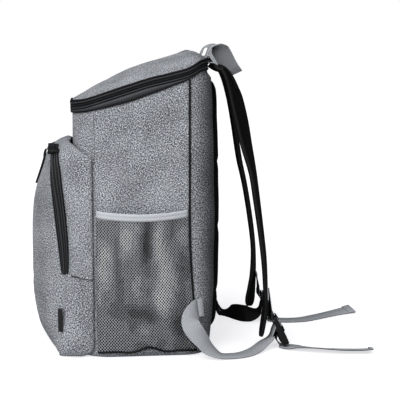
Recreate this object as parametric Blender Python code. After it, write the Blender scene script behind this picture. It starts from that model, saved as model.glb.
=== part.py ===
"""Picnic cooler backpack, standing on its base.

Metres, +Z up. The front faces -Y, the back and the shoulder straps face +Y, the width runs along X.
The origin is on the floor, under the middle of the main body. Soft walls are lofted through short
tables of sections, and every strap is a ribbon through a table of stations.
"""

from math import cos
from math import pi
from math import radians
from math import sin
from math import sqrt

import bmesh
import bpy
from mathutils import Vector

# Gap between pieces that touch
GAP = 0.0003

# Main body
BAG_WIDTH = 0.280
BODY_FRONT = 0.0885
BODY_BACK = 0.092
FRONT_CORNER = 0.048
BACK_CORNER = 0.036
BODY_WALL = 0.004
BASE_WALL = 0.005
RIM_FRONT_Z = 0.337
RIM_BACK_Z = 0.3925

# Side seams, measured along Y
FRONT_SEAM_Y = -0.062
BACK_SEAM_Y = 0.0655
BACK_SEAM_FOOT = 0.013
PIPING_RADIUS = 0.0014

# Lid and its zip
TAPE_THICKNESS = 0.002
UPPER_TAPE = 0.0065
LOWER_TAPE = 0.016
LID_WALL = 0.004
LID_CROWN = 0.018

# How far the far front top corner has settled, and over what lengths
SAG = 0.010
SAG_START_X = 0.06
SAG_WIDTH = 0.20
SAG_DEPTH = 0.08
SAG_LOW_Z = 0.12
SAG_HEIGHT = 0.16

# Front pocket
POCKET_HALF = BAG_WIDTH / 2 - 0.018
POCKET_TOP_Z = 0.278
POCKET_ARCH_SIDE_Z = 0.270
POCKET_SEAM = 0.0185
POCKET_BULGE = 0.0490
POCKET_WALL = 0.002
POCKET_ZIP_WIDTH = 0.0165
GUSSET_SWELL = 0.0045
CORNER_EASE = 0.0016

# Net side pockets
MESH_TOP_Z = 0.190
MESH_FOOT_Z = 0.008
MESH_SWELL = 0.015
MESH_WALL = 0.0012
BINDING_HEIGHT = 0.0095
BINDING_THICKNESS = 0.0024

# Padded back
PAD_WIDTH = BAG_WIDTH - 0.088
PAD_FOOT_Z = 0.022
PAD_TOP_Z = 0.370
PAD_THICKNESS = 0.0085
PAD_CORNER = 0.028

# Webbing and shoulder straps
WEB_WIDTH = 0.025
WEB_THICKNESS = 0.0015
WEB_LIFT = 0.0009
WEB_SEAM_Z = 0.066
WEB_SEAM_SETBACK = 0.0028
STRAP_WIDTH = 0.058
STRAP_THICKNESS = 0.0085
STRAP_TOP_X = 0.078
STRAP_TOP_Z = 0.389
STRAP_REACH = 0.084
TAIL_LENGTH = 0.130

# Ladder locks
LOCK_WIDTH = 0.033
LOCK_LENGTH = 0.042
LOCK_RAIL = 0.0032
LOCK_TILT = 23.5
LOCK_THIN = 0.0045
LOCK_THICK = 0.0095
LOCK_SIDESTEP = 0.008
LOCK_SETBACK = 0.0155
LOCK_FLOOR = 0.0062

# Carry handle
HANDLE_SPREAD = 0.080
HANDLE_REACH = 0.049
HANDLE_RISE = 0.0205

# Blank side label and the pulls
LABEL_HEIGHT = 0.032
LABEL_DEPTH = 0.0065
LABEL_THICKNESS = 0.0014
LABEL_FOOT_Z = 0.035
SLIDER_LENGTH = 0.011
SLIDER_WIDTH = 0.008
SLIDER_HEIGHT = 0.0035
PULL_LENGTH = 0.036
PULL_WIDTH = 0.005
PULL_THICKNESS = 0.0014

# Columns: height share, half-width share, front share, back share
BODY_SECTIONS = [
    (0.000, 1.020, 1.000, 1.020),
    (0.018, 1.030, 1.000, 1.030),
    (0.040, 1.026, 1.000, 1.040),
    (0.100, 1.018, 1.000, 1.068),
    (0.160, 1.012, 1.000, 1.086),
    (0.270, 1.006, 1.000, 1.105),
    (0.450, 1.000, 1.000, 1.113),
    (0.667, 1.000, 1.000, 1.103),
    (0.806, 1.000, 1.000, 1.086),
    (0.916, 1.000, 1.000, 1.070),
    (0.955, 1.000, 1.000, 1.056),
    (0.975, 1.000, 1.000, 1.000),
    (1.000, 1.000, 1.000, 1.000),
]

# The zip line. Columns: share of the depth from the front, share of the rise, share of the lower tape
ZIP_LINE = [
    (0.000, 0.000, 0.62),
    (0.090, 0.050, 0.67),
    (0.155, 0.115, 0.74),
    (0.200, 0.166, 0.80),
    (0.290, 0.265, 0.90),
    (0.425, 0.407, 1.00),
    (0.560, 0.545, 0.94),
    (0.700, 0.652, 0.74),
    (0.780, 0.717, 0.62),
    (0.835, 0.768, 0.55),
    (0.890, 0.850, 0.48),
    (0.930, 0.935, 0.48),
    (1.000, 1.000, 0.55),
]

# The lid's ridge over its edge. Columns: share of the depth from the front, share of the crown
LID_RIDGE = [
    (0.00, 0.00),
    (0.08, 0.30),
    (0.17, 0.54),
    (0.33, 0.74),
    (0.48, 0.88),
    (0.70, 0.96),
    (0.88, 1.00),
    (0.96, 0.55),
    (1.00, 0.08),
]

# The pocket's seam with its bulging panel. Columns: height share, seam share, bulge share
POCKET_PROFILE = [
    (0.00, 1.20, 0.18),
    (0.05, 1.15, 0.46),
    (0.12, 1.03, 0.71),
    (0.22, 0.84, 0.88),
    (0.37, 0.70, 0.96),
    (0.48, 0.76, 0.94),
    (0.69, 1.05, 0.78),
    (0.79, 1.25, 0.61),
    (0.88, 1.43, 0.37),
    (0.94, 1.48, 0.24),
    (1.00, 1.38, 0.18),
]

# Half of the pocket's outline, bottom middle to top middle. Columns: zip line's share of the half
# width and of the top height, body seam's share of the half width and of its height, zip width share
POCKET_OUTLINE = [
    (0.000, 0.003, 0.000, 0.004, 0.00),
    (0.400, 0.003, 0.350, 0.004, 0.00),
    (0.800, 0.003, 0.680, 0.004, 0.00),
    (0.960, 0.003, 0.820, 0.004, 0.00),
    (1.070, 0.010, 0.940, 0.006, 0.00),
    (1.090, 0.060, 1.000, 0.050, 0.00),
    (1.040, 0.220, 1.000, 0.210, 0.00),
    (1.000, 0.394, 1.000, 0.385, 0.00),
    (1.000, 0.402, 1.000, 0.394, 0.55),
    (1.000, 0.480, 1.000, 0.470, 0.85),
    (1.000, 0.600, 1.000, 0.590, 1.08),
    (1.000, 0.730, 1.000, 0.720, 1.22),
    (1.000, 0.850, 1.000, 0.850, 1.35),
    (0.985, 0.915, 1.000, 0.993, 1.30),
    (0.950, 0.955, 0.970, 1.012, 1.10),
    (0.880, 0.985, 0.900, 1.039, 0.95),
    (0.780, 0.998, 0.780, 1.062, 0.85),
    (0.540, 1.000, 0.530, 1.068, 0.80),
    (0.270, 1.000, 0.270, 1.066, 0.80),
    (0.000, 1.000, 0.000, 1.065, 0.80),
]

# A net pocket's belly. Columns: height share, swell share
MESH_SECTIONS = [
    (0.00, 0.12),
    (0.08, 0.42),
    (0.35, 0.72),
    (0.70, 0.90),
    (1.00, 1.00),
]
MESH_FOLDS = [0.0, 0.08, 0.28, 0.50, 0.72, 0.92, 1.0]

# Shoulder straps. Columns: X share, reach share, height share, lean in degrees, width share,
# thickness share
RIGHT_STRAP = [
    (1.00, 0.104, 1.000, 0, 0.90, 0.75),
    (1.00, 0.204, 0.990, 2, 0.96, 1.00),
    (1.00, 0.285, 0.985, 6, 1.00, 1.00),
    (1.02, 0.375, 0.962, 12, 1.00, 1.00),
    (1.04, 0.469, 0.915, 18, 1.00, 1.00),
    (1.05, 0.527, 0.875, 21, 1.00, 1.00),
    (1.08, 0.607, 0.800, 21, 1.00, 1.00),
    (1.11, 0.682, 0.720, 18, 1.00, 1.00),
    (1.15, 0.781, 0.625, 12, 1.00, 1.00),
    (1.19, 0.843, 0.530, 11, 0.98, 0.96),
    (1.24, 0.917, 0.405, 10, 0.94, 0.90),
    (1.28, 0.964, 0.308, 10, 0.88, 0.84),
    (1.29, 0.988, 0.210, 9, 0.80, 0.78),
    (1.30, 0.985, 0.140, 6, 0.72, 0.74),
    (1.30, 0.955, 0.088, 6, 0.66, 0.74),
    (1.30, 0.929, 0.052, 6, 0.52, 0.70),
    (1.30, 0.915, 0.036, 6, 0.24, 0.60),
]
LEFT_STRAP = [
    (1.00, 0.095, 1.010, 0, 0.90, 0.75),
    (1.00, 0.200, 1.014, 2, 0.96, 1.00),
    (1.00, 0.335, 1.008, 3, 1.00, 1.00),
    (1.00, 0.460, 0.985, 4, 1.00, 1.00),
    (1.00, 0.560, 0.940, 5, 1.00, 1.00),
    (1.00, 0.655, 0.860, 6, 1.00, 1.00),
    (0.98, 0.736, 0.760, 6, 1.00, 1.00),
    (0.95, 0.827, 0.630, 6, 1.00, 1.00),
    (0.90, 0.924, 0.530, 7, 0.98, 0.96),
    (0.83, 1.013, 0.405, 8, 0.94, 0.92),
    (0.76, 1.068, 0.290, 9, 0.88, 0.86),
    (0.70, 1.062, 0.190, 14, 0.80, 0.80),
    (0.65, 1.030, 0.130, 20, 0.74, 0.76),
    (0.62, 1.003, 0.092, 25, 0.68, 0.74),
    (0.60, 0.988, 0.068, 27, 0.52, 0.70),
    (0.59, 0.982, 0.056, 27, 0.24, 0.60),
]

# Webbing from a seam to its lock. Columns: the frame that the place is told in, three lengths in
# millimetres, and the direction of the ribbon's width. "seam" counts from the seam's end of the
# webbing, "floor" from the point on the floor under the seam, "lock" from the lock's top bar as
# distance across it, down it and out of it.
RIGHT_WEBBING = [
    ("seam", 0.9, 0.0, 0.0, (0.00, -0.09, 1.00)),
    ("seam", 8.0, -2.8, -0.8, (0.06, -0.32, 0.94)),
    ("seam", 13.5, -8.0, -5.3, (0.20, -0.72, 0.66)),
    ("seam", 17.0, -10.7, -10.8, (0.20, -0.94, 0.28)),
    ("seam", 19.2, -10.8, -16.4, (0.15, -0.98, -0.08)),
    ("seam", 22.0, -8.8, -22.2, (0.18, -0.90, -0.38)),
    ("seam", 23.7, -4.2, -28.9, (0.30, -0.82, -0.49)),
    ("seam", 24.0, 3.7, -39.3, (0.58, -0.72, -0.39)),
    ("seam", 23.5, 9.9, -47.6, (0.74, -0.62, -0.28)),
    ("seam", 22.0, 19.0, -55.5, (0.90, -0.41, -0.16)),
    ("floor", 20.5, 31.5, 3.6, (0.99, -0.12, 0.00)),
    ("floor", 18.0, 44.0, 2.0, (1.00, 0.00, 0.00)),
    ("floor", 13.5, 58.0, 1.7, (1.00, 0.10, 0.00)),
    ("floor", 5.0, 70.0, 1.9, (0.97, 0.25, 0.00)),
    ("floor", -6.5, 81.5, 3.4, (0.95, 0.30, 0.00)),
    ("floor", -19.0, 93.0, 7.6, (0.97, 0.20, 0.00)),
    ("lock", 0.5, 27.0, -15.5, (1.00, 0.00, 0.00)),
    ("lock", 0.0, 20.5, -9.0, (1.00, 0.00, 0.00)),
    ("lock", 0.0, 15.9, -4.4, (1.00, 0.00, 0.00)),
    ("lock", 0.0, 15.2, -1.8, (1.00, 0.00, 0.00)),
    ("lock", 0.0, 15.2, 1.8, (1.00, 0.00, 0.00)),
    ("lock", 0.0, 15.8, 4.5, (1.00, 0.00, 0.00)),
    ("lock", 0.0, 17.5, 5.7, (1.00, 0.00, 0.00)),
    ("lock", 0.0, 19.8, 5.5, (1.00, 0.00, 0.00)),
]
LEFT_WEBBING = [
    ("seam", -0.9, 0.0, 0.0, (0.00, 0.09, -1.00)),
    ("seam", -6.5, 2.6, 0.0, (0.00, 0.09, -1.00)),
    ("seam", -12.0, 9.0, -3.5, (0.05, 0.05, -1.00)),
    ("seam", -11.0, 22.0, -14.0, (0.25, 0.00, -0.95)),
    ("seam", 1.0, 38.0, -32.0, (0.70, -0.03, -0.50)),
    ("floor", 20.0, 52.5, 19.5, (0.98, -0.05, 0.05)),
    ("floor", 33.5, 58.1, 11.6, (0.98, -0.06, 0.14)),
    ("floor", 47.0, 62.9, 6.2, (0.98, -0.06, 0.05)),
    ("floor", 69.0, 71.2, 7.2, (0.88, 0.00, -0.42)),
    ("floor", 90.0, 80.6, 11.0, (0.60, 0.05, -0.80)),
    ("floor", 104.0, 90.5, 12.3, (0.48, 0.05, -0.87)),
    ("floor", 105.0, 99.0, 11.8, (0.66, 0.10, -0.74)),
    ("lock", 0.0, 25.5, -13.0, (0.98, 0.00, -0.15)),
    ("lock", 0.0, 15.9, -4.4, (1.00, 0.00, 0.00)),
    ("lock", 0.0, 15.2, -1.8, (1.00, 0.00, 0.00)),
    ("lock", 0.0, 15.2, 1.8, (1.00, 0.00, 0.00)),
    ("lock", 0.0, 15.8, 4.5, (1.00, 0.00, 0.00)),
    ("lock", 0.0, 17.5, 5.7, (1.00, 0.00, 0.00)),
    ("lock", 0.0, 19.8, 5.5, (1.00, 0.00, 0.00)),
]

# Free ends. "tail" counts from the point on the floor under the lock's top bar: across in
# millimetres, along as a share of the tail's length, up in millimetres.
RIGHT_TAIL = [
    ("lock", 0.0, 20.1, 5.5, (1.00, 0.00, 0.00)),
    ("lock", 0.0, 22.3, 5.7, (1.00, 0.00, 0.00)),
    ("lock", 0.0, 23.8, 4.5, (1.00, 0.00, 0.00)),
    ("lock", 0.0, 24.2, 1.0, (1.00, 0.00, 0.00)),
    ("lock", 0.0, 24.4, -3.0, (1.00, 0.00, 0.00)),
    ("lock", 0.0, 26.4, -6.8, (1.00, 0.00, 0.00)),
    ("lock", 0.0, 31.0, -9.2, (1.00, 0.00, 0.00)),
    ("tail", 0.5, 0.075, 3.6, (1.00, 0.00, 0.00)),
    ("tail", 4.0, 0.120, 1.8, (1.00, 0.00, 0.02)),
    ("tail", 13.0, 0.185, 2.2, (0.99, -0.10, 0.06)),
    ("tail", 21.0, 0.265, 3.8, (0.97, -0.05, 0.18)),
    ("tail", 29.0, 0.390, 4.6, (0.97, 0.00, 0.24)),
    ("tail", 35.0, 0.530, 4.4, (0.97, 0.00, 0.23)),
    ("tail", 40.0, 0.690, 4.0, (0.98, 0.00, 0.20)),
    ("tail", 43.0, 0.850, 4.0, (0.98, 0.00, 0.20)),
    ("tail", 44.5, 0.950, 4.6, (0.97, 0.00, 0.22)),
    ("tail", 45.0, 1.000, 5.2, (0.97, 0.00, 0.24)),
]
LEFT_TAIL = [
    ("lock", 0.0, 20.1, 5.5, (1.00, 0.00, 0.00)),
    ("lock", 0.0, 22.3, 5.7, (1.00, 0.00, 0.00)),
    ("lock", 0.0, 23.8, 4.5, (1.00, 0.00, 0.00)),
    ("lock", 0.0, 24.2, 1.0, (1.00, 0.00, 0.00)),
    ("lock", 0.0, 24.4, -3.0, (1.00, 0.00, 0.00)),
    ("lock", 0.0, 26.4, -6.8, (1.00, 0.00, 0.00)),
    ("lock", 0.0, 31.0, -9.2, (1.00, 0.00, 0.00)),
    ("tail", 0.0, 0.080, 3.4, (1.00, 0.00, 0.00)),
    ("tail", 1.5, 0.125, 1.8, (1.00, 0.00, 0.00)),
    ("tail", 4.5, 0.200, 1.4, (1.00, -0.10, 0.00)),
    ("tail", 7.0, 0.290, 1.4, (1.00, -0.05, 0.00)),
    ("tail", 7.5, 0.390, 1.4, (1.00, 0.08, 0.00)),
    ("tail", 4.5, 0.510, 1.4, (0.97, 0.20, 0.00)),
    ("tail", -6.0, 0.650, 1.4, (0.95, 0.30, 0.00)),
    ("tail", -17.5, 0.790, 1.5, (0.95, 0.30, 0.00)),
    ("tail", -28.0, 0.930, 2.0, (0.95, 0.30, -0.04)),
    ("tail", -34.0, 1.040, 3.0, (0.94, 0.28, -0.10)),
    ("tail", -38.5, 1.170, 5.0, (0.93, 0.28, -0.20)),
]

# Loop from the strap's end round the lock's top bar. Columns as the webbing's
STRAP_LOOP = [
    ("lock", 0.0, -6.5, -0.8, (1.00, 0.00, 0.00)),
    ("lock", 0.0, -3.0, -3.0, (1.00, 0.00, 0.00)),
    ("lock", 0.0, 1.5, -4.4, (1.00, 0.00, 0.00)),
    ("lock", 0.0, 4.2, -4.2, (1.00, 0.00, 0.00)),
    ("lock", 0.0, 5.5, -3.0, (1.00, 0.00, 0.00)),
    ("lock", 0.0, 5.7, 0.0, (1.00, 0.00, 0.00)),
    ("lock", 0.0, 5.5, 3.0, (1.00, 0.00, 0.00)),
    ("lock", 0.0, 4.2, 4.2, (1.00, 0.00, 0.00)),
    ("lock", 0.0, 1.2, 4.0, (1.00, 0.00, 0.00)),
]

# Carry handle, one half. Columns: X share of half the spread, reach share, rise share, width direction
HANDLE_HALF = [
    (1.00, 0.000, 0.05, (1.00, 0.00, 0.00)),
    (1.00, 0.080, 0.45, (1.00, 0.00, 0.00)),
    (0.99, 0.170, 0.88, (1.00, 0.05, 0.00)),
    (0.97, 0.280, 1.00, (0.99, 0.08, 0.12)),
    (0.93, 0.400, 0.92, (0.80, 0.30, 0.50)),
    (0.84, 0.500, 0.66, (0.40, 0.50, 0.76)),
    (0.70, 0.610, 0.28, (0.15, 0.66, 0.72)),
    (0.52, 0.730, -0.20, (0.05, 0.80, 0.60)),
    (0.34, 0.850, -0.62, (0.00, 0.88, 0.48)),
    (0.15, 0.950, -0.88, (0.00, 0.91, 0.42)),
    (0.00, 0.980, -0.94, (0.00, 0.91, 0.42)),
]

GREY = (0.235, 0.240, 0.250, 1.0)
BLACK = (0.012, 0.012, 0.014, 1.0)
WEB_GREY = (0.330, 0.335, 0.345, 1.0)


def material(name, colour, roughness, metallic=0.0):
    """Return a Principled material with one colour."""
    made = bpy.data.materials.new(name)
    made.use_nodes = True
    shader = made.node_tree.nodes["Principled BSDF"]
    shader.inputs["Base Color"].default_value = colour
    shader.inputs["Roughness"].default_value = roughness
    shader.inputs["Metallic"].default_value = metallic
    return made


def eased(value):
    """Return a share from 0 to 1 with soft ends."""
    held = min(1.0, max(0.0, value))
    return held * held * (3 - 2 * held)


def settled(point):
    """Lower a point where the soft bag has settled, at its far front top corner."""
    x, y, z = point
    side = eased((SAG_START_X - x) / SAG_WIDTH)
    front = eased(-y / SAG_DEPTH)
    high = eased((z - SAG_LOW_Z) / SAG_HEIGHT)
    return (x, y, z - SAG * side * front * high)


def loft(name, rings, finish, looped=False, folded=False):
    """Skin rings of equally many points into one closed body, capped unless the path is a loop.

    A folded ring runs along a sheet and back, so its caps are strips that follow the sheet.
    """
    mesh = bmesh.new()
    rows = [[mesh.verts.new(settled(point)) for point in ring] for ring in rings]
    count = len(rows[0])
    pairs = list(zip(rows, rows[1:]))
    if looped:
        pairs.append((rows[-1], rows[0]))
    for first, second in pairs:
        for i in range(count):
            j = (i + 1) % count
            mesh.faces.new((first[i], first[j], second[j], second[i]))
    if folded:
        for row in (rows[0], rows[-1]):
            for i in range(count // 2 - 1):
                mesh.faces.new((row[i], row[i + 1], row[-2 - i], row[-1 - i]))
    elif not looped:
        mesh.faces.new(rows[0])
        mesh.faces.new(list(reversed(rows[-1])))
    bmesh.ops.recalc_face_normals(mesh, faces=mesh.faces)
    data = bpy.data.meshes.new(name)
    mesh.to_mesh(data)
    mesh.free()
    data.materials.append(finish)
    data.shade_smooth()
    data.set_sharp_from_angle(angle=radians(40))
    made = bpy.data.objects.new(name, data)
    bpy.context.collection.objects.link(made)
    return made


def along(table, share, column):
    """Read a column of a table at a share of its first column, straight between the rows."""
    if share <= table[0][0]:
        return table[0][column]
    for low, high in zip(table, table[1:]):
        if share <= high[0]:
            part = (share - low[0]) / (high[0] - low[0])
            return low[column] + (high[column] - low[column]) * part
    return table[-1][column]


def arc(centre, radius, start, end, steps):
    """Return the points of an arc in plan, without its first point."""
    points = []
    for i in range(1, steps + 1):
        angle = radians(start + (end - start) * i / steps)
        points.append((centre[0] + radius * cos(angle), centre[1] + radius * sin(angle)))
    return points


def straight(start, end, steps):
    """Return points along a line, without its first point."""
    return [
        (start[0] + (end[0] - start[0]) * i / steps, start[1] + (end[1] - start[1]) * i / steps)
        for i in range(1, steps + 1)
    ]


def plan(half, front, back, inset=0.0):
    """Return the body's outline in plan, anticlockwise from the front's left end."""
    front_radius = FRONT_CORNER - inset
    back_radius = BACK_CORNER - inset
    right = half - inset
    near = -front + inset
    far = back - inset
    points = straight((-right + front_radius, near), (right - front_radius, near), 4)
    points += arc((right - front_radius, near + front_radius), front_radius, -90, 0, 5)
    points += straight((right, near + front_radius), (right, far - back_radius), 4)
    points += arc((right - back_radius, far - back_radius), back_radius, 0, 90, 5)
    points += straight((right - back_radius, far), (-right + back_radius, far), 4)
    points += arc((-right + back_radius, far - back_radius), back_radius, 90, 180, 5)
    points += straight((-right, far - back_radius), (-right, near + front_radius), 4)
    points += arc((-right + front_radius, near + front_radius), front_radius, 180, 270, 5)
    return points


def depth_share(y):
    """Return how far back a place is, from 0 at the front to 1 at the back."""
    return (y + BODY_FRONT) / (BODY_FRONT + BODY_BACK)


def zip_z(y):
    """Return the height of the lid's zip line."""
    return RIM_FRONT_Z + (RIM_BACK_Z - RIM_FRONT_Z) * along(ZIP_LINE, depth_share(y), 1)


def body_size(height_share):
    """Return the body's half width, front and back at a height."""
    return (
        BAG_WIDTH / 2 * along(BODY_SECTIONS, height_share, 1),
        BODY_FRONT * along(BODY_SECTIONS, height_share, 2),
        BODY_BACK * along(BODY_SECTIONS, height_share, 3),
    )


def back_face(z):
    """Return the Y of the body's back at a height."""
    return BODY_BACK * along(BODY_SECTIONS, z / RIM_BACK_Z, 3)


def side_face(y, z):
    """Return the X of the body's side at a place along Y and a height."""
    half, front, back = body_size(z / zip_z(y))
    over_front = max(0.0, FRONT_CORNER - front - y)
    over_back = max(0.0, y - back + BACK_CORNER)
    if over_front > 0:
        return half - FRONT_CORNER + sqrt(max(FRONT_CORNER**2 - over_front**2, 1e-6))
    return half - BACK_CORNER + sqrt(max(BACK_CORNER**2 - over_back**2, 1e-6))


def seam_y(z):
    """Return the Y of the back side seam at a height."""
    drop = max(0.0, 1 - z / (RIM_BACK_Z / 2))
    return BACK_SEAM_Y + BACK_SEAM_FOOT * drop * drop


def body_ring(height_share, inset=0.0, floor=0.0):
    """Return one ring of the body's wall, sloped as the rim is."""
    ring = []
    for x, y in plan(*body_size(height_share), inset):
        top = zip_z(y) - GAP
        ring.append((x, y, floor + (top - floor) * height_share))
    return ring


def make_body(finish):
    """The insulated tub: a wall round a hollow, open at its sloping rim."""
    shares = [row[0] for row in BODY_SECTIONS]
    outer = [body_ring(share) for share in shares]
    inner = [body_ring(share, BODY_WALL, BASE_WALL) for share in reversed(shares)]
    loft("body_shell", outer + inner, finish)


def rim_strip(name, low, high, finish):
    """A strip of tape round the rim, between two heights that are functions of Y."""
    half, front, back = body_size(1.0)
    inner = plan(half, front, back, -GAP)
    outer = plan(half, front, back, -GAP - TAPE_THICKNESS)
    rings = []
    for (ix, iy), (ox, oy) in zip(inner, outer):
        bottom = low(iy)
        top = high(iy)
        rings.append([(ix, iy, bottom), (ox, oy, bottom), (ox, oy, top), (ix, iy, top)])
    loft(name, rings, finish, looped=True)


def lid_edge_z(y):
    """Return the height of the lid's edge."""
    return zip_z(y) + UPPER_TAPE


def lid_z(x, y):
    """Return the height of the lid's domed top."""
    crown = LID_CROWN * along(LID_RIDGE, depth_share(y), 1)
    across = min(1.0, abs(x) / side_face(y, zip_z(y)))
    return lid_edge_z(y) + crown * (1 - across**3)


def make_lid(finish):
    """The domed lid, with a short skirt behind the upper tape."""
    half, front, back = body_size(1.0)
    scales = [1.0, 0.965, 0.90, 0.78, 0.60, 0.38, 0.16]
    outline = plan(half, front, back)
    inner_outline = plan(half, front, back, LID_WALL)
    outer = [[(x, y, zip_z(y) + GAP) for x, y in outline]]
    inner = [[(x, y, zip_z(y) + GAP) for x, y in inner_outline]]
    for scale in scales:
        outer.append([(x * scale, y * scale, lid_z(x * scale, y * scale)) for x, y in outline])
        inner.append(
            [(x * scale, y * scale, lid_z(x * scale, y * scale) - LID_WALL) for x, y in inner_outline]
        )
    loft("lid_panel", list(reversed(outer)) + inner, finish)


def pocket_share(z):
    """Return a height as a share of the pocket's."""
    return z / POCKET_TOP_Z


def pocket_half(z):
    """Return the half width of the pocket's zip line at a height."""
    rows = [(row[1], row[0]) for row in POCKET_OUTLINE[3:]]
    return POCKET_HALF * max(0.35, along(rows, pocket_share(z), 1))


def pocket_y(x, z):
    """Return the Y of the pocket's bulging panel."""
    share = pocket_share(z)
    seam = -BODY_FRONT - POCKET_SEAM * along(POCKET_PROFILE, share, 1)
    bulge = POCKET_BULGE * along(POCKET_PROFILE, share, 2)
    across = min(1.0, abs(x) / pocket_half(z))
    return seam - bulge * (1 - across**2.4)


def corner_point(x_share, z):
    """Return a place on the body's front and its front corner, and the outward direction there."""
    half, front, _ = body_size(z / zip_z(-BODY_FRONT))
    start = half - FRONT_CORNER
    over = FRONT_CORNER - front - FRONT_SEAM_Y
    x = min(x_share, 1.0) * (start + sqrt(FRONT_CORNER**2 - over**2))
    if x_share >= 1.0:
        reach = x - start
        return Vector((x, FRONT_SEAM_Y, z)), Vector((reach, -over, 0)).normalized()
    if x <= start:
        return Vector((x, -front, z)), Vector((0, -1, 0))
    reach = sqrt(max(FRONT_CORNER**2 - (x - start) ** 2, 0.0))
    outward = Vector((x - start, -reach, 0)).normalized()
    return Vector((x, -front + FRONT_CORNER - reach, z)), outward


def pocket_station(row):
    """Work out one place round the pocket's outline, on the +X side."""
    zip_x, zip_height, seam_x, seam_height, zip_width = row
    x = zip_x * POCKET_HALF
    z = zip_height * POCKET_TOP_Z
    corner = Vector((x, pocket_y(x, z), z))
    middle = Vector((0, corner.y, POCKET_TOP_Z * 0.5))
    inward = middle - corner
    inward.x *= 1.6
    inward.normalize()
    if zip_x > 0.97 and 0.05 < zip_height < 0.9:
        inward = Vector((-1, 0, 0))
    elif zip_x < 0.85:
        inward = Vector((0, 0, 1 if zip_height < 0.5 else -1))
    seam, outward = corner_point(seam_x, max(seam_height * POCKET_ARCH_SIDE_Z, 0.001))
    if seam_x > 0.5:
        seam += outward * CORNER_EASE
    step = max(POCKET_ZIP_WIDTH * zip_width / 2, GAP / 2)
    gusset_edge = corner + (seam - corner).normalized() * step
    panel_edge = corner + inward * step
    panel_edge.y = pocket_y(panel_edge.x, panel_edge.z)
    if panel_edge.y < corner.y - step:
        panel_edge.y = corner.y - step
    mitre = (inward + Vector((0, 1, 0))).normalized() * POCKET_WALL * 1.3
    return {
        "corner": corner,
        "inward": inward,
        "seam": seam,
        "outward": outward,
        "gusset_edge": gusset_edge,
        "panel_edge": panel_edge,
        "mitre": mitre,
        "step": step,
        "topness": abs(inward.z),
    }


def mirrored(half):
    """Return a whole loop from its +X half, which starts and ends on the middle plane."""
    flip = lambda value: Vector((-value.x, value.y, value.z)) if isinstance(value, Vector) else value
    other = [{key: flip(value) for key, value in place.items()} for place in half[1:-1]]
    return half + list(reversed(other))


def make_pocket(cloth, zip_black):
    """The front pocket: gusset, zip band and bulging panel, meeting edge to edge."""
    half = [pocket_station(row) for row in POCKET_OUTLINE]
    loop = mirrored(half)

    rings = []
    for place in loop:
        outer_seam = place["seam"] + place["outward"] * (GAP + POCKET_WALL)
        inner_seam = place["seam"] + place["outward"] * GAP
        inner_seam.z += place["inward"].z * POCKET_WALL
        outer_edge = place["gusset_edge"]
        inner_edge = outer_edge + place["mitre"]
        swell = -place["inward"] * GUSSET_SWELL
        outer_middle = (outer_seam + outer_edge) / 2 + swell
        outer_middle.z = max(outer_middle.z, outer_edge.z if place["inward"].z > 0.5 else 0.0)
        inner_middle = outer_middle + place["inward"] * POCKET_WALL
        rings.append([outer_seam, outer_middle, outer_edge, inner_edge, inner_middle, inner_seam])
    loft("pocket_gusset", rings, cloth, looped=True)

    centre = Vector((0, 0, POCKET_TOP_Z * 0.47))
    outer = []
    inner = []
    for scale in [1.0, 0.86, 0.70, 0.50, 0.28, 0.10]:
        outer_ring = []
        inner_ring = []
        for place in loop:
            edge = place["panel_edge"]
            x = edge.x * scale
            z = centre.z + (edge.z - centre.z) * scale
            y = edge.y if scale == 1.0 else pocket_y(x, z)
            point = Vector((x, y, z))
            outer_ring.append(point)
            inner_ring.append(point + (place["mitre"] if scale == 1.0 else Vector((0, POCKET_WALL, 0))))
        outer.append(outer_ring)
        inner.append(inner_ring)
    loft("pocket_panel", list(reversed(outer)) + inner, cloth)

    first = next(i for i, row in enumerate(POCKET_OUTLINE) if row[4] > 0)
    strip = loop[first : len(loop) - first + 1]
    rings = []
    for place in strip:
        low = place["gusset_edge"] + (place["corner"] - place["gusset_edge"]).normalized() * GAP
        high = place["panel_edge"] + (place["corner"] - place["panel_edge"]).normalized() * GAP
        middle = place["corner"]
        rings.append([low, middle, high, high + place["mitre"], middle + place["mitre"], low + place["mitre"]])
    loft("pocket_zip", rings, zip_black)


def spline(values, part):
    """Catmull-Rom through a list of equally long tuples, at a part counted in rows."""
    last = len(values) - 1
    i = min(int(part), last - 1)
    t = part - i
    p0 = values[max(i - 1, 0)]
    p1 = values[i]
    p2 = values[i + 1]
    p3 = values[min(i + 2, last)]
    return tuple(
        0.5 * (2 * b + (c - a) * t + (2 * a - 5 * b + 4 * c - d) * t * t + (3 * b - a - 3 * c + d) * t**3)
        for a, b, c, d in zip(p0, p1, p2, p3)
    )


def ribbon_frames(stations, steps):
    """Return smooth frames along stations of (place, width direction, width, thickness)."""
    flat = [(*place, *across, width, thickness) for place, across, width, thickness in stations]
    count = (len(flat) - 1) * steps
    rows = [spline(flat, i / steps) for i in range(count + 1)]
    places = [Vector(row[0:3]) for row in rows]
    frames = []
    for i, row in enumerate(rows):
        tangent = (places[min(i + 1, count)] - places[max(i - 1, 0)]).normalized()
        across = Vector(row[3:6])
        across = (across - tangent * across.dot(tangent)).normalized()
        frames.append((places[i], tangent, across, tangent.cross(across), row[6], row[7]))
    return frames


def ribbon(name, stations, finish, steps=2, padded=False):
    """A flat strip along stations, with a rectangular section, or a rounded one when padded."""
    rings = []
    for place, _, across, normal, width, thickness in ribbon_frames(stations, steps):
        w = width / 2
        t = thickness / 2
        if padded:
            outline = [(-1, -0.35), (-0.84, -1), (0.84, -1), (1, -0.35)]
            outline += [(1, 0.35), (0.84, 1), (-0.84, 1), (-1, 0.35)]
        else:
            outline = [(-1, -1), (1, -1), (1, 1), (-1, 1)]
        rings.append([place + across * w * a + normal * t * b for a, b in outline])
    return loft(name, rings, finish)


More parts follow.
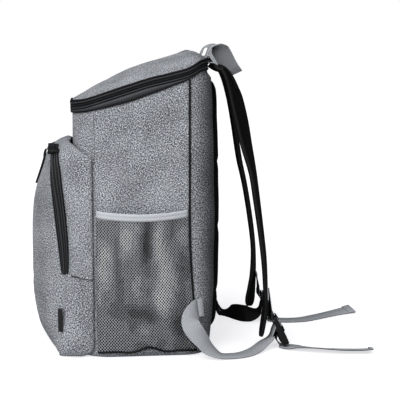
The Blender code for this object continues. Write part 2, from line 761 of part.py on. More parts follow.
def strap_stations(side, table):
    """Return a shoulder strap's stations."""
    stations = []
    for x, reach, height, lean, width, thickness in table:
        place = (side * x * STRAP_TOP_X, BODY_BACK + reach * STRAP_REACH, height * STRAP_TOP_Z)
        across = (cos(radians(lean)), -sin(radians(lean)), 0.0)
        stations.append((place, across, width * STRAP_WIDTH, thickness * STRAP_THICKNESS))
    return stations


def offset_stations(stations, width, thickness, first, last):
    """Return dense stations of a webbing that lies on the outer face of a strap."""
    made = []
    for place, _, across, normal, _, pad in ribbon_frames(stations, 2)[first * 2 : last * 2 + 1]:
        lift = pad / 2 + thickness / 2 + WEB_LIFT
        outward = normal if normal.y + normal.z > 0 else -normal
        made.append((tuple(place + outward * lift), tuple(across), width, thickness))
    return made


def lock_frame(side, table):
    """Return a lock's top bar place, its downward direction and its outward one."""
    end = strap_stations(side, table)[-1][0]
    tilt = radians(LOCK_TILT)
    down = Vector((0, sin(tilt), -cos(tilt)))
    out = Vector((0, cos(tilt), sin(tilt)))
    top = Vector((end[0] + LOCK_SIDESTEP, end[1] + LOCK_SETBACK, LOCK_LENGTH * cos(tilt) + LOCK_FLOOR))
    return top, down, out


def lock_thickness(distance):
    """Return how far a lock reaches behind and before its middle plane."""
    share = distance / LOCK_LENGTH
    half = (LOCK_THIN + (LOCK_THICK - LOCK_THIN) * min(1.0, share * 1.6)) / 2
    return half


def make_lock(name, side, table, finish):
    """A ladder lock: two rails, three bars and two slots, thicker towards its thumb end."""
    top, down, out = lock_frame(side, table)
    across = Vector((1, 0, 0))
    xs = [-LOCK_WIDTH / 2, -LOCK_WIDTH / 2 + LOCK_RAIL, LOCK_WIDTH / 2 - LOCK_RAIL, LOCK_WIDTH / 2]
    stops = [0.0, 0.0042, 0.0168, 0.0222, 0.0312, LOCK_LENGTH]
    holes = {(1, 1), (1, 3)}
    mesh = bmesh.new()
    front = {}
    back = {}
    for i, x in enumerate(xs):
        for j, stop in enumerate(stops):
            half = lock_thickness(stop)
            place = top + across * x + down * stop
            front[i, j] = mesh.verts.new(place + out * half)
            back[i, j] = mesh.verts.new(place - out * half)
    solid = {(i, j) for i in range(3) for j in range(5)} - holes
    for i, j in sorted(solid):
        corners = [(i, j), (i + 1, j), (i + 1, j + 1), (i, j + 1)]
        mesh.faces.new([front[c] for c in corners])
        mesh.faces.new([back[c] for c in reversed(corners)])
        neighbours = [(i, j - 1), (i + 1, j), (i, j + 1), (i - 1, j)]
        for k, neighbour in enumerate(neighbours):
            if neighbour in solid:
                continue
            a = corners[k]
            b = corners[(k + 1) % 4]
            mesh.faces.new((front[a], back[a], back[b], front[b]))
    bmesh.ops.recalc_face_normals(mesh, faces=mesh.faces)
    data = bpy.data.meshes.new(name)
    mesh.to_mesh(data)
    mesh.free()
    data.materials.append(finish)
    made = bpy.data.objects.new(name, data)
    bpy.context.collection.objects.link(made)


def web_stations(side, table, strap_table):
    """Return webbing stations from a table of places told from the seam, the floor or the lock."""
    top, down, out = lock_frame(side, strap_table)
    seam_place = seam_y(WEB_SEAM_Z) + PIPING_RADIUS + WEB_SEAM_SETBACK
    seam = Vector((side * (side_face(seam_place, WEB_SEAM_Z) + GAP), seam_place, WEB_SEAM_Z))
    stations = []
    for kind, a, b, c, across in table:
        if kind == "seam":
            place = seam + Vector((a, b, c)) / 1000
        elif kind == "floor":
            place = Vector((seam.x + a / 1000, seam.y + b / 1000, c / 1000))
        elif kind == "tail":
            place = Vector((top.x + a / 1000, top.y + b * TAIL_LENGTH, c / 1000))
        else:
            place = top + Vector((a / 1000, 0, 0)) + down * (b / 1000) + out * (c / 1000)
        stations.append((tuple(place), across, WEB_WIDTH, WEB_THICKNESS))
    return stations


def tape_face_y():
    """Return the Y of the lid tape's outer face at the back."""
    return body_size(1.0)[2] + GAP + TAPE_THICKNESS


def make_handle(finish):
    """The carry handle: one webbing loop from the top seam, pinched at its tip."""
    stations = []
    for side, rows in ((1, HANDLE_HALF), (-1, list(reversed(HANDLE_HALF))[1:])):
        for x, reach, rise, across in rows:
            place = (
                side * x * HANDLE_SPREAD / 2,
                tape_face_y() + GAP + WEB_THICKNESS / 2 + reach * HANDLE_REACH,
                RIM_BACK_Z + 0.002 + rise * HANDLE_RISE,
            )
            turned = (across[0] * side, across[1], across[2]) if side > 0 else (-across[0], across[1], across[2])
            stations.append((place, turned, WEB_WIDTH, WEB_THICKNESS))
    ribbon("carry_handle", stations, finish, steps=2)


def mesh_place(side, y_share, height_share, z, lift):
    """Return a place on a net pocket, raised by a thickness along its slope."""
    front = FRONT_SEAM_Y + POCKET_WALL + 0.001
    back = seam_y(z) - PIPING_RADIUS - 0.001
    y = front + (back - front) * y_share
    swell = MESH_SWELL * along(MESH_SECTIONS, height_share, 1)
    x = side_face(y, z) + GAP + 0.0004 + swell * max(0.0, sin(pi * y_share)) ** 0.6
    return (side * (x + lift), y, z)


def make_mesh_pocket(side, word, net, tape):
    """A net pocket that bellies out of the bag's side, with its bound mouth."""
    rings = []
    for share, _ in MESH_SECTIONS:
        z = MESH_FOOT_Z + (MESH_TOP_Z - MESH_FOOT_Z) * share
        inner = [mesh_place(side, s, share, z, 0.0) for s in MESH_FOLDS]
        outer = [mesh_place(side, s, share, z, MESH_WALL) for s in reversed(MESH_FOLDS)]
        rings.append(inner + outer)
    loft("mesh_pocket_" + word, rings, net, folded=True)
    rings = []
    for z in (MESH_TOP_Z + GAP, MESH_TOP_Z + GAP + BINDING_HEIGHT):
        inner = [mesh_place(side, s, 1.0, z, 0.0) for s in MESH_FOLDS]
        outer = [mesh_place(side, s, 1.0, z, BINDING_THICKNESS) for s in reversed(MESH_FOLDS)]
        rings.append(inner + outer)
    loft("mesh_binding_" + word, rings, tape, folded=True)


def make_piping(side, word, finish):
    """The piping in a back side seam, from under the lid's tape to the foot."""
    rings = []
    top = zip_z(BACK_SEAM_Y) - LOWER_TAPE * along(ZIP_LINE, depth_share(BACK_SEAM_Y), 2) - GAP * 2
    heights = [0.012, 0.05, 0.10, 0.15, 0.20, 0.28, top]
    for z in heights:
        y = seam_y(z)
        x = side_face(y - PIPING_RADIUS, z) + PIPING_RADIUS + GAP
        ring = []
        for i in range(6):
            angle = pi / 3 * i
            ring.append((side * (x + PIPING_RADIUS * cos(angle)), y + PIPING_RADIUS * sin(angle), z))
        rings.append(ring)
    loft("side_piping_" + word, rings, finish)


def rounded_rectangle(width, low, high, radius, steps):
    """Return a rounded rectangle's points as (x, z) pairs."""
    half = width / 2
    points = []
    for cx, cz, start in (
        (half - radius, low + radius, -90),
        (half - radius, high - radius, 0),
        (-half + radius, high - radius, 90),
        (-half + radius, low + radius, 180),
    ):
        for i in range(steps + 1):
            angle = radians(start + 90 * i / steps)
            points.append((cx + radius * cos(angle), cz + radius * sin(angle)))
    return points


def make_back_panel(finish):
    """The padded back, which follows the body's curve and is crowned towards its middle."""
    levels = 9
    widths = [-1.0, -0.93, -0.5, 0.0, 0.5, 0.93, 1.0]
    rings = []
    for i in range(levels):
        z = PAD_FOOT_Z + (PAD_TOP_Z - PAD_FOOT_Z) * i / (levels - 1)
        ends = min(z - PAD_FOOT_Z, PAD_TOP_Z - z)
        narrow = 0.0
        if ends < PAD_CORNER:
            narrow = PAD_CORNER - sqrt(PAD_CORNER**2 - (PAD_CORNER - ends) ** 2)
        half = PAD_WIDTH / 2 - narrow
        swell = 0.45 if i in (0, levels - 1) else 1.0
        base = back_face(z) + GAP + 0.0003
        ring = [(half * w, base, z) for w in widths]
        thick = [0.30, 0.42, 0.70, 1.0, 0.70, 0.42, 0.30]
        ring += [
            (half * w, base + PAD_THICKNESS * t * swell, z)
            for w, t in zip(reversed(widths), thick)
        ]
        rings.append(ring)
    loft("back_panel", rings, finish)


def box(name, corner, size, finish):
    """A closed box from its lowest corner."""
    x, y, z = corner
    a, b, c = size
    rings = [
        [(x, y, z), (x + a, y, z), (x + a, y + b, z), (x, y + b, z)],
        [(x, y, z + c), (x + a, y, z + c), (x + a, y + b, z + c), (x, y + b, z + c)],
    ]
    return loft(name, rings, finish)


def make_label(finish):
    """The blank folded label in the pocket's lower seam."""
    z = LABEL_FOOT_Z
    half = pocket_half(z)
    edge = Vector((half, pocket_y(half, z), z))
    x = edge.x + LABEL_THICKNESS / 2 + GAP
    stations = [
        ((x, edge.y - 0.001, z), (0.45, 1.0, 0.0), LABEL_DEPTH, LABEL_THICKNESS),
        ((x, edge.y - 0.001, z + LABEL_HEIGHT), (0.45, 1.0, 0.0), LABEL_DEPTH, LABEL_THICKNESS),
    ]
    ribbon("side_label", stations, finish, steps=1)


def make_pulls(finish):
    """The sliders, each with its pull: one on the lid's zip, one on the pocket's."""
    y = BODY_BACK * 0.45
    z = zip_z(y)
    x = -BAG_WIDTH / 2 - GAP * 2 - TAPE_THICKNESS
    rings = []
    for height, reach in ((0.004, 0.4), (0.002, 1.0), (-0.004, 1.0), (-0.005, 0.5), (-0.030, 0.45)):
        thick = SLIDER_HEIGHT * reach
        wide = SLIDER_WIDTH / 2 if height > -0.0045 else PULL_WIDTH / 2
        rings.append(
            [
                (x - thick, y - wide, z + height),
                (x, y - wide, z + height),
                (x, y + wide, z + height),
                (x - thick, y + wide, z + height),
            ]
        )
    loft("lid_zip_pull", rings, finish)

    top = POCKET_TOP_Z - 0.006
    rings = []
    for drop, reach, wide in (
        (0.000, 0.8, SLIDER_WIDTH / 2),
        (0.004, 1.0, SLIDER_WIDTH / 2),
        (0.010, 0.8, SLIDER_WIDTH / 2),
        (0.012, 0.4, PULL_WIDTH / 2),
        (0.020, 0.4, PULL_WIDTH / 2),
        (0.030, 0.4, PULL_WIDTH / 2),
        (0.012 + PULL_LENGTH, 0.4, PULL_WIDTH / 2),
    ):
        z = top - drop
        base = min(pocket_y(0.0, z), pocket_y(0.0, z + 0.004)) - 0.0012
        thick = SLIDER_HEIGHT * reach
        rings.append([(-wide, base - thick, z), (wide, base - thick, z), (wide, base, z), (-wide, base, z)])
    loft("pocket_zip_pull", rings, finish)


def make_straps(side, word, strap_table, web_table, tail_table, pad, web, plastic):
    """One shoulder strap with its webbings, lock and free end."""
    strap = strap_stations(side, strap_table)
    ribbon("shoulder_strap_" + word, strap, pad, steps=2, padded=True)

    lead = offset_stations(strap, WEB_WIDTH, WEB_THICKNESS, 0, 4)
    first = lead[0][0]
    start = ((first[0], tape_face_y() + GAP, first[2]), (1, 0, 0), WEB_WIDTH, WEB_THICKNESS)
    ribbon("strap_webbing_" + word, [start] + lead, web, steps=1)

    count = len(strap)
    lower = offset_stations(strap, WEB_WIDTH * 0.92, WEB_THICKNESS, count - 5, count - 5)
    loop = web_stations(side, STRAP_LOOP, strap_table)
    narrow = [(place, across, WEB_WIDTH * 0.92, thickness) for place, across, _, thickness in loop]
    ribbon("strap_loop_" + word, lower + narrow, web, steps=1)

    make_lock("ladder_lock_" + word, side, strap_table, plastic)
    ribbon("lower_webbing_" + word, web_stations(side, web_table, strap_table), web, steps=2)
    ribbon("webbing_tail_" + word, web_stations(side, tail_table, strap_table), web, steps=2)


def main():
    """Build the bag."""
    for old in list(bpy.data.objects):
        bpy.data.objects.remove(old)
    cloth = material("heather_cloth", GREY, 0.85)
    black_tape = material("black_tape", BLACK, 0.55)
    net = material("grey_net", WEB_GREY, 0.7)
    web = material("grey_webbing", WEB_GREY, 0.7)
    pad = material("black_padding", BLACK, 0.9)
    plastic = material("black_plastic", BLACK, 0.35)

    make_body(cloth)
    make_lid(cloth)
    rim_strip("lid_tape_upper", lambda y: zip_z(y) + GAP, lambda y: zip_z(y) + UPPER_TAPE, black_tape)
    rim_strip(
        "lid_tape_lower",
        lambda y: zip_z(y) - LOWER_TAPE * along(ZIP_LINE, depth_share(y), 2),
        lambda y: zip_z(y) - GAP,
        black_tape,
    )
    make_pocket(cloth, black_tape)
    make_back_panel(pad)
    for side, word in ((1, "right"), (-1, "left")):
        make_mesh_pocket(side, word, net, web)
        make_piping(side, word, black_tape)
    make_straps(1, "right", RIGHT_STRAP, RIGHT_WEBBING, RIGHT_TAIL, pad, web, plastic)
    make_straps(-1, "left", LEFT_STRAP, LEFT_WEBBING, LEFT_TAIL, pad, web, plastic)
    make_handle(web)
    make_label(black_tape)
    make_pulls(plastic)


main()
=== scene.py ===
"""Looks of the picnic cooler backpack: heather cloth, zips, net pockets, padding and webbing.

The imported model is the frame. Every soft solid is replaced here by a finer piece that sits in the same
place, built from the same named sizes, in metres: front towards -Y, width along X, +Z up.
"""

from __future__ import annotations

import logging
import math
from collections.abc import Callable, Sequence
from dataclasses import dataclass, field
from enum import Enum

import bmesh
import bpy
from mathutils import Matrix, Vector, noise

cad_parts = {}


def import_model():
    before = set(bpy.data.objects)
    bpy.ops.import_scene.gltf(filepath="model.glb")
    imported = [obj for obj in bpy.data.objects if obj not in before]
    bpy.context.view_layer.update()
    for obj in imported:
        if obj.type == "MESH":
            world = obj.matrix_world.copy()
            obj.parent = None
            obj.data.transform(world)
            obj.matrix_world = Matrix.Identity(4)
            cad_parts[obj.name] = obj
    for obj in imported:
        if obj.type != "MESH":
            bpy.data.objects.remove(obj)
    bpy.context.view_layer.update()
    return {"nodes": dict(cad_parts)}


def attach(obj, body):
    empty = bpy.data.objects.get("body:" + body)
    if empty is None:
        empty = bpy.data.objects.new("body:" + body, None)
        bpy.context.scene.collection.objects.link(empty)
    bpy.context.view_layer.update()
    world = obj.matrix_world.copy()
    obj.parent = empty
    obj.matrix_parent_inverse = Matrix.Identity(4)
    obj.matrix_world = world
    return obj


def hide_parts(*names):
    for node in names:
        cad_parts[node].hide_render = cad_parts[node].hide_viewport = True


LOG = logging.getLogger("backpack")
GAP = 0.0003
UV_NAME = "weave"
STITCH_SHAPE = ((-0.36, 0.35), (-0.2, 1.0), (0.2, 1.0), (0.36, 0.35))
STITCH_HALF_WIDTH = 0.00032
STITCH_HEIGHT = 0.0003
COIL_PITCH = 0.0021

Row = list[Vector]
Triple = tuple[float, float, float]
Colour = Triple
# A place, the direction of the width, the width and the thickness
Station = tuple[Vector, Vector, float, float]
# A place, the tangent, the direction of the width, the normal, the width and the thickness
Frame = tuple[Vector, Vector, Vector, Vector, float, float]
# Points as shares of the half width and half thickness, each with its strip's material
Section = Sequence[tuple[float, float, int]]
Finish = bpy.types.Material
Piece = bpy.types.Object
Socket = bpy.types.NodeSocket
MIDDLE = Vector((0.0, 0.0, 0.2))
UP = Vector((0.0, 0.0, 1.0))


class Side(Enum):
    """The bag's two sides, as seen by its wearer's X axis."""

    RIGHT = 1
    LEFT = -1

    @property
    def word(self) -> str:
        """The side's name as it ends a node's name."""
        return self.name.lower()


class Slot(Enum):
    """Names of material slots."""

    CLOTH = "cloth"
    TAPE = "black_tape"
    NET = "net"
    WEBBING = "webbing"
    PADDING = "padding"
    PLASTIC = "black_plastic"


@dataclass(frozen=True)
class Table:
    """Rows of a short table, read smoothly and without overshoot."""

    rows: tuple[tuple[float, ...], ...]

    def at(self, share: float, column: int = 1) -> float:
        """Read a column at a value of the first column.

        Args:
            share: The value of the first column.
            column: The column to read.

        Returns:
            The column's value there.
        """
        rows = self.rows
        if share <= rows[0][0]:
            return rows[0][column]
        if share >= rows[-1][0]:
            return rows[-1][column]
        i = max(k for k in range(len(rows) - 1) if rows[k][0] <= share)
        step = rows[i + 1][0] - rows[i][0]
        t = (share - rows[i][0]) / step
        rise = rows[i + 1][column] - rows[i][column]
        start = self._slope(i, column) * step
        end = self._slope(i + 1, column) * step
        return (
            rows[i][column]
            + start * t
            + (3 * rise - 2 * start - end) * t * t
            + (start + end - 2 * rise) * t**3
        )

    def _slope(self, i: int, column: int) -> float:
        """Work out the slope at a row, level where the table turns.

        Args:
            i: The row.
            column: The column.

        Returns:
            The slope.
        """
        rows = self.rows
        if i in (0, len(rows) - 1):
            k = 0 if i == 0 else len(rows) - 2
            return (rows[k + 1][column] - rows[k][column]) / (rows[k + 1][0] - rows[k][0])
        before = (rows[i][column] - rows[i - 1][column]) / (rows[i][0] - rows[i - 1][0])
        after = (rows[i + 1][column] - rows[i][column]) / (rows[i + 1][0] - rows[i][0])
        if before * after <= 0:
            return 0.0
        return 2 * before * after / (before + after)


def spline(points: Sequence[Sequence[float]], part: float) -> list[float]:
    """Catmull-Rom through rows of numbers.

    Args:
        points: Rows of equally many numbers.
        part: The place, counted in rows.

    Returns:
        The row there.
    """
    last = len(points) - 1
    i = min(int(part), last - 1)
    t = part - i
    p0 = points[max(i - 1, 0)]
    p1 = points[i]
    p2 = points[i + 1]
    p3 = points[min(i + 2, last)]
    made = []
    for a, b, c, d in zip(p0, p1, p2, p3):
        bend = (2 * a - 5 * b + 4 * c - d) * t * t + (3 * b - a - 3 * c + d) * t**3
        made.append(0.5 * (2 * b + (c - a) * t + bend))
    return made


def swell_noise(place: Vector, pitch: float, seed: float = 0.0) -> float:
    """Smooth noise from -1 to 1 whose bumps are one pitch apart."""
    return noise.noise(place / pitch + Vector((seed, seed * 1.7, seed * 0.6)))


# Meshes


def select_only(piece: Piece) -> None:
    """Deselect everything, then select one object and make it active."""
    bpy.ops.object.select_all(action="DESELECT")
    piece.select_set(True)
    bpy.context.view_layer.objects.active = piece


def apply_all(piece: Piece) -> None:
    """Apply every modifier of a piece, in order."""
    select_only(piece)
    for modifier in list(piece.modifiers):
        bpy.ops.object.modifier_apply(modifier=modifier.name)


def piece_from(name: str, mesh: bmesh.types.BMesh, finishes: Sequence[Finish]) -> Piece:
    """Turn a worked mesh into a smooth piece, and free the mesh.

    Args:
        name: The piece's name.
        mesh: The mesh.
        finishes: The piece's materials.

    Returns:
        The new object.
    """
    data = bpy.data.meshes.new(name)
    mesh.to_mesh(data)
    mesh.free()
    for finish in finishes:
        data.materials.append(finish)
    data.shade_smooth()
    made = bpy.data.objects.new(name, data)
    bpy.context.collection.objects.link(made)
    return made


def skin(
    name: str,
    rows: Sequence[Row],
    finishes: Sequence[Finish],
    closed: bool = False,
    inside: Vector | None = None,
    caps: bool = False,
    uv_origin: tuple[float, float] = (0.0, 0.0),
) -> Piece:
    """Skin rows of equally many points, with a map of the surface in metres.

    Args:
        name: The piece's name.
        rows: Rows of points.
        finishes: The piece's materials.
        closed: Whether each row is a loop.
        inside: A place that the surface faces away from.
        caps: Whether the first and last rows are filled.
        uv_origin: Where the map starts, in metres.

    Returns:
        The new object.
    """
    mesh = bmesh.new()
    layer = mesh.loops.layers.uv.new(UV_NAME)
    grid = [[mesh.verts.new(point) for point in row] for row in rows]
    count = len(grid[0])
    middle = len(rows) // 2
    across = [uv_origin[0]]
    for i in range(count):
        across.append(across[-1] + (rows[middle][(i + 1) % count] - rows[middle][i]).length)
    up = [uv_origin[1]]
    for first, second in zip(rows, rows[1:]):
        up.append(up[-1] + (second[count // 3] - first[count // 3]).length)
    for r in range(len(grid) - 1):
        for c in range(count if closed else count - 1):
            d = (c + 1) % count
            face = mesh.faces.new((grid[r][c], grid[r][d], grid[r + 1][d], grid[r + 1][c]))
            for loop, (a, b) in zip(face.loops, ((0, 0), (1, 0), (1, 1), (0, 1))):
                loop[layer].uv = (across[c + a], up[r + b])
    if caps:
        for ring, turn in ((grid[0], -1), (grid[-1], 1)):
            face = mesh.faces.new(ring[::turn])
            for loop in face.loops:
                loop[layer].uv = (loop.vert.co.x + loop.vert.co.y, loop.vert.co.z)
    mesh.normal_update()
    if inside is not None:
        lean = 0.0
        for face in mesh.faces:
            lean += face.normal.dot(face.calc_center_median() - inside) * face.calc_area()
        if lean < 0:
            bmesh.ops.reverse_faces(mesh, faces=mesh.faces)
    else:
        bmesh.ops.recalc_face_normals(mesh, faces=mesh.faces)
    return piece_from(name, mesh, finishes)


def reworked(piece: Piece, work: Callable[[bmesh.types.BMesh], object]) -> None:
    """Work on a piece's mesh.

    Args:
        piece: The piece.
        work: What is done to its mesh.
    """
    mesh = bmesh.new()
    mesh.from_mesh(piece.data)
    work(mesh)
    mesh.to_mesh(piece.data)
    mesh.free()


def fill_hole(piece: Piece, near: Callable[[Vector], bool]) -> None:
    """Close the open edge of a sheet.

    Args:
        piece: The sheet.
        near: Whether a place is on the edge to close.
    """

    def fill(mesh: bmesh.types.BMesh) -> None:
        """Fill what lies inside the chosen edges."""
        edges = [edge for edge in mesh.edges if edge.is_boundary and near(edge.verts[0].co)]
        bmesh.ops.holes_fill(mesh, edges=edges, sides=0)

    reworked(piece, fill)
    piece.data.shade_smooth()


def weld(piece: Piece) -> None:
    """Merge the doubled places of a closed band and turn its faces outwards."""

    def join(mesh: bmesh.types.BMesh) -> None:
        """Merge and turn."""
        bmesh.ops.remove_doubles(mesh, verts=mesh.verts, dist=1e-6)
        bmesh.ops.recalc_face_normals(mesh, faces=mesh.faces)

    reworked(piece, join)


def thicken(piece: Piece, thickness: float, lining: bool = False) -> None:
    """Give a sheet its thickness, inwards, so that it is a closed body.

    Args:
        piece: The sheet.
        thickness: Its thickness in metres.
        lining: Whether the inner face takes the second material.
    """
    solid = piece.modifiers.new("wall", "SOLIDIFY")
    solid.thickness = thickness
    solid.offset = -1.0
    solid.use_even_offset = False
    solid.material_offset = 1 if lining else 0
    apply_all(piece)


def frames_along(stations: Sequence[Station], steps: int) -> list[Frame]:
    """Smooth frames along stations.

    Args:
        stations: Place, width direction, width and thickness of each station.
        steps: Frames from one station to the next.

    Returns:
        Place, tangent, width direction, normal, width and thickness of each frame.
    """
    flat = [(*place, *across, width, thick) for place, across, width, thick in stations]
    count = (len(flat) - 1) * steps
    rows = [spline(flat, i / steps) for i in range(count + 1)]
    places = [Vector(row[0:3]) for row in rows]
    made = []
    for i, row in enumerate(rows):
        tangent = (places[min(i + 1, count)] - places[max(i - 1, 0)]).normalized()
        across = Vector(row[3:6])
        across = (across - tangent * across.dot(tangent)).normalized()
        made.append((places[i], tangent, across, tangent.cross(across), row[6], row[7]))
    return made


def sweep(
    name: str,
    frames: Sequence[Frame],
    section: Section,
    finishes: Sequence[Finish],
) -> Piece:
    """Sweep a closed section along frames.

    Args:
        name: The piece's name.
        frames: Frames from frames_along.
        section: Points as shares of half the width and half the thickness, each with the material of
            the strip that starts there.
        finishes: The piece's materials.

    Returns:
        The new object.
    """
    rows = []
    for place, _, across, normal, width, thick in frames:
        rows.append([place + across * (a * width / 2) + normal * (b * thick / 2) for a, b, _ in section])
    piece = skin(name, rows, finishes, closed=True, caps=True)
    count = len(section)
    for polygon in piece.data.polygons:
        if polygon.index < count * (len(rows) - 1):
            polygon.material_index = section[polygon.index % count][2]
    return piece


FLAT_SECTION = (
    (-1.0, -0.3, 1),
    (-0.95, -1.0, 1),
    (0.0, -1.0, 1),
    (0.95, -1.0, 1),
    (1.0, -0.3, 0),
    (1.0, 0.3, 0),
    (0.95, 1.0, 0),
    (0.0, 1.0, 0),
    (-0.95, 1.0, 0),
    (-1.0, 0.3, 1),
)


def padded_section(count: int) -> Section:
    """Make the section of a padded strap, with one face material above and another below.

    Args:
        count: How many corners it has.

    Returns:
        The section.
    """
    made = []
    for k in range(count):
        angle = math.tau * (k + 0.5) / count
        wide = math.copysign(abs(math.cos(angle)) ** 0.30, math.cos(angle))
        high = math.copysign(abs(math.sin(angle)) ** 0.62, math.sin(angle))
        made.append((wide, high, 0 if high >= 0 else 1))
    return made


def round_section(count: int) -> Section:
    """The section of a round cord."""
    return [(math.cos(math.tau * k / count), math.sin(math.tau * k / count), 0) for k in range(count)]


def ribbon(name: str, stations: Sequence[Station], steps: int, finish: Finish) -> Piece:
    """Sweep a flat band of one finish.

    Args:
        name: The piece's name.
        stations: Its stations.
        steps: Frames from one station to the next.
        finish: Its material.

    Returns:
        The band.
    """
    return sweep(name, frames_along(stations, steps), FLAT_SECTION, [finish, finish])


def band_loop(name: str, rings: Sequence[Row], finish: Finish) -> Piece:
    """Skin rings all the way round and join the last to the first.

    Args:
        name: The piece's name.
        rings: The closed section at each place of the way round.
        finish: The piece's material.

    Returns:
        The new object.
    """
    piece = skin(name, [*rings, [point.copy() for point in rings[0]]], [finish], closed=True)
    weld(piece)
    return piece


def stitches(
    name: str,
    path: Sequence[Vector],
    out: Sequence[Vector],
    finish: Finish,
    pitch: float = 0.0036,
) -> Piece:
    """A row of raised stitches along a path.

    Args:
        name: The piece's name.
        path: Places along the seam.
        out: The direction in which the stitches stand proud, one for each place.
        finish: The thread's material.
        pitch: Distance from one stitch to the next.

    Returns:
        The stitches as one object.
    """
    mesh = bmesh.new()
    travelled = 0.0
    following = 0.0
    for i in range(len(path) - 1):
        leg = path[i + 1] - path[i]
        length = leg.length
        if length < 1e-7:
            continue
        along = leg / length
        while following < travelled + length:
            place = path[i] + along * (following - travelled)
            way = (out[i] - along * out[i].dot(along)).normalized()
            beside = along.cross(way)
            rings = []
            for reach, size in STITCH_SHAPE:
                centre = place + along * (pitch * reach)
                wide = beside * (STITCH_HALF_WIDTH * size)
                high = way * (STITCH_HEIGHT * size)
                corners = (centre - wide, centre + high, centre + wide, centre - high)
                rings.append([mesh.verts.new(corner) for corner in corners])
            for first, second in zip(rings, rings[1:]):
                for k in range(4):
                    mesh.faces.new((first[k], first[(k + 1) % 4], second[(k + 1) % 4], second[k]))
            mesh.faces.new(rings[0])
            mesh.faces.new(rings[-1])
            following += pitch
        travelled += length
    bmesh.ops.recalc_face_normals(mesh, faces=mesh.faces)
    return piece_from(name, mesh, [finish])


@dataclass(frozen=True)
class Sag:
    """How the soft bag has settled at its far front top corner."""

    drop: float = 0.010
    start_x: float = 0.06
    width: float = 0.20
    depth: float = 0.08
    low_z: float = 0.12
    height: float = 0.16

    @staticmethod
    def eased(value: float) -> float:
        """Hold a value between 0 and 1, with soft ends."""
        held = min(1.0, max(0.0, value))
        return held * held * (3 - 2 * held)

    def settle(self, mesh: bpy.types.Mesh) -> None:
        """Lower the places of a mesh that have settled.

        Args:
            mesh: The mesh.
        """
        for vertex in mesh.vertices:
            place = vertex.co
            side = self.eased((self.start_x - place.x) / self.width)
            front = self.eased(-place.y / self.depth)
            high = self.eased((place.z - self.low_z) / self.height)
            place.z -= self.drop * side * front * high


def seat(piece: Piece, slot: Slot, *nodes: str) -> Piece:
    """Ride a piece on the bag, let it settle with the bag, and hide the nodes that it stands for.

    Args:
        piece: The piece.
        slot: Not used.
        nodes: The CAD nodes that it replaces.

    Returns:
        The same piece.
    """
    Sag().settle(piece.data)
    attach(piece, "root")
    if nodes:
        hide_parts(*nodes)
    LOG.info("%s: %d faces, for %s", piece.name, len(piece.data.polygons), ", ".join(nodes) or "trim")
    return piece


# Finishes


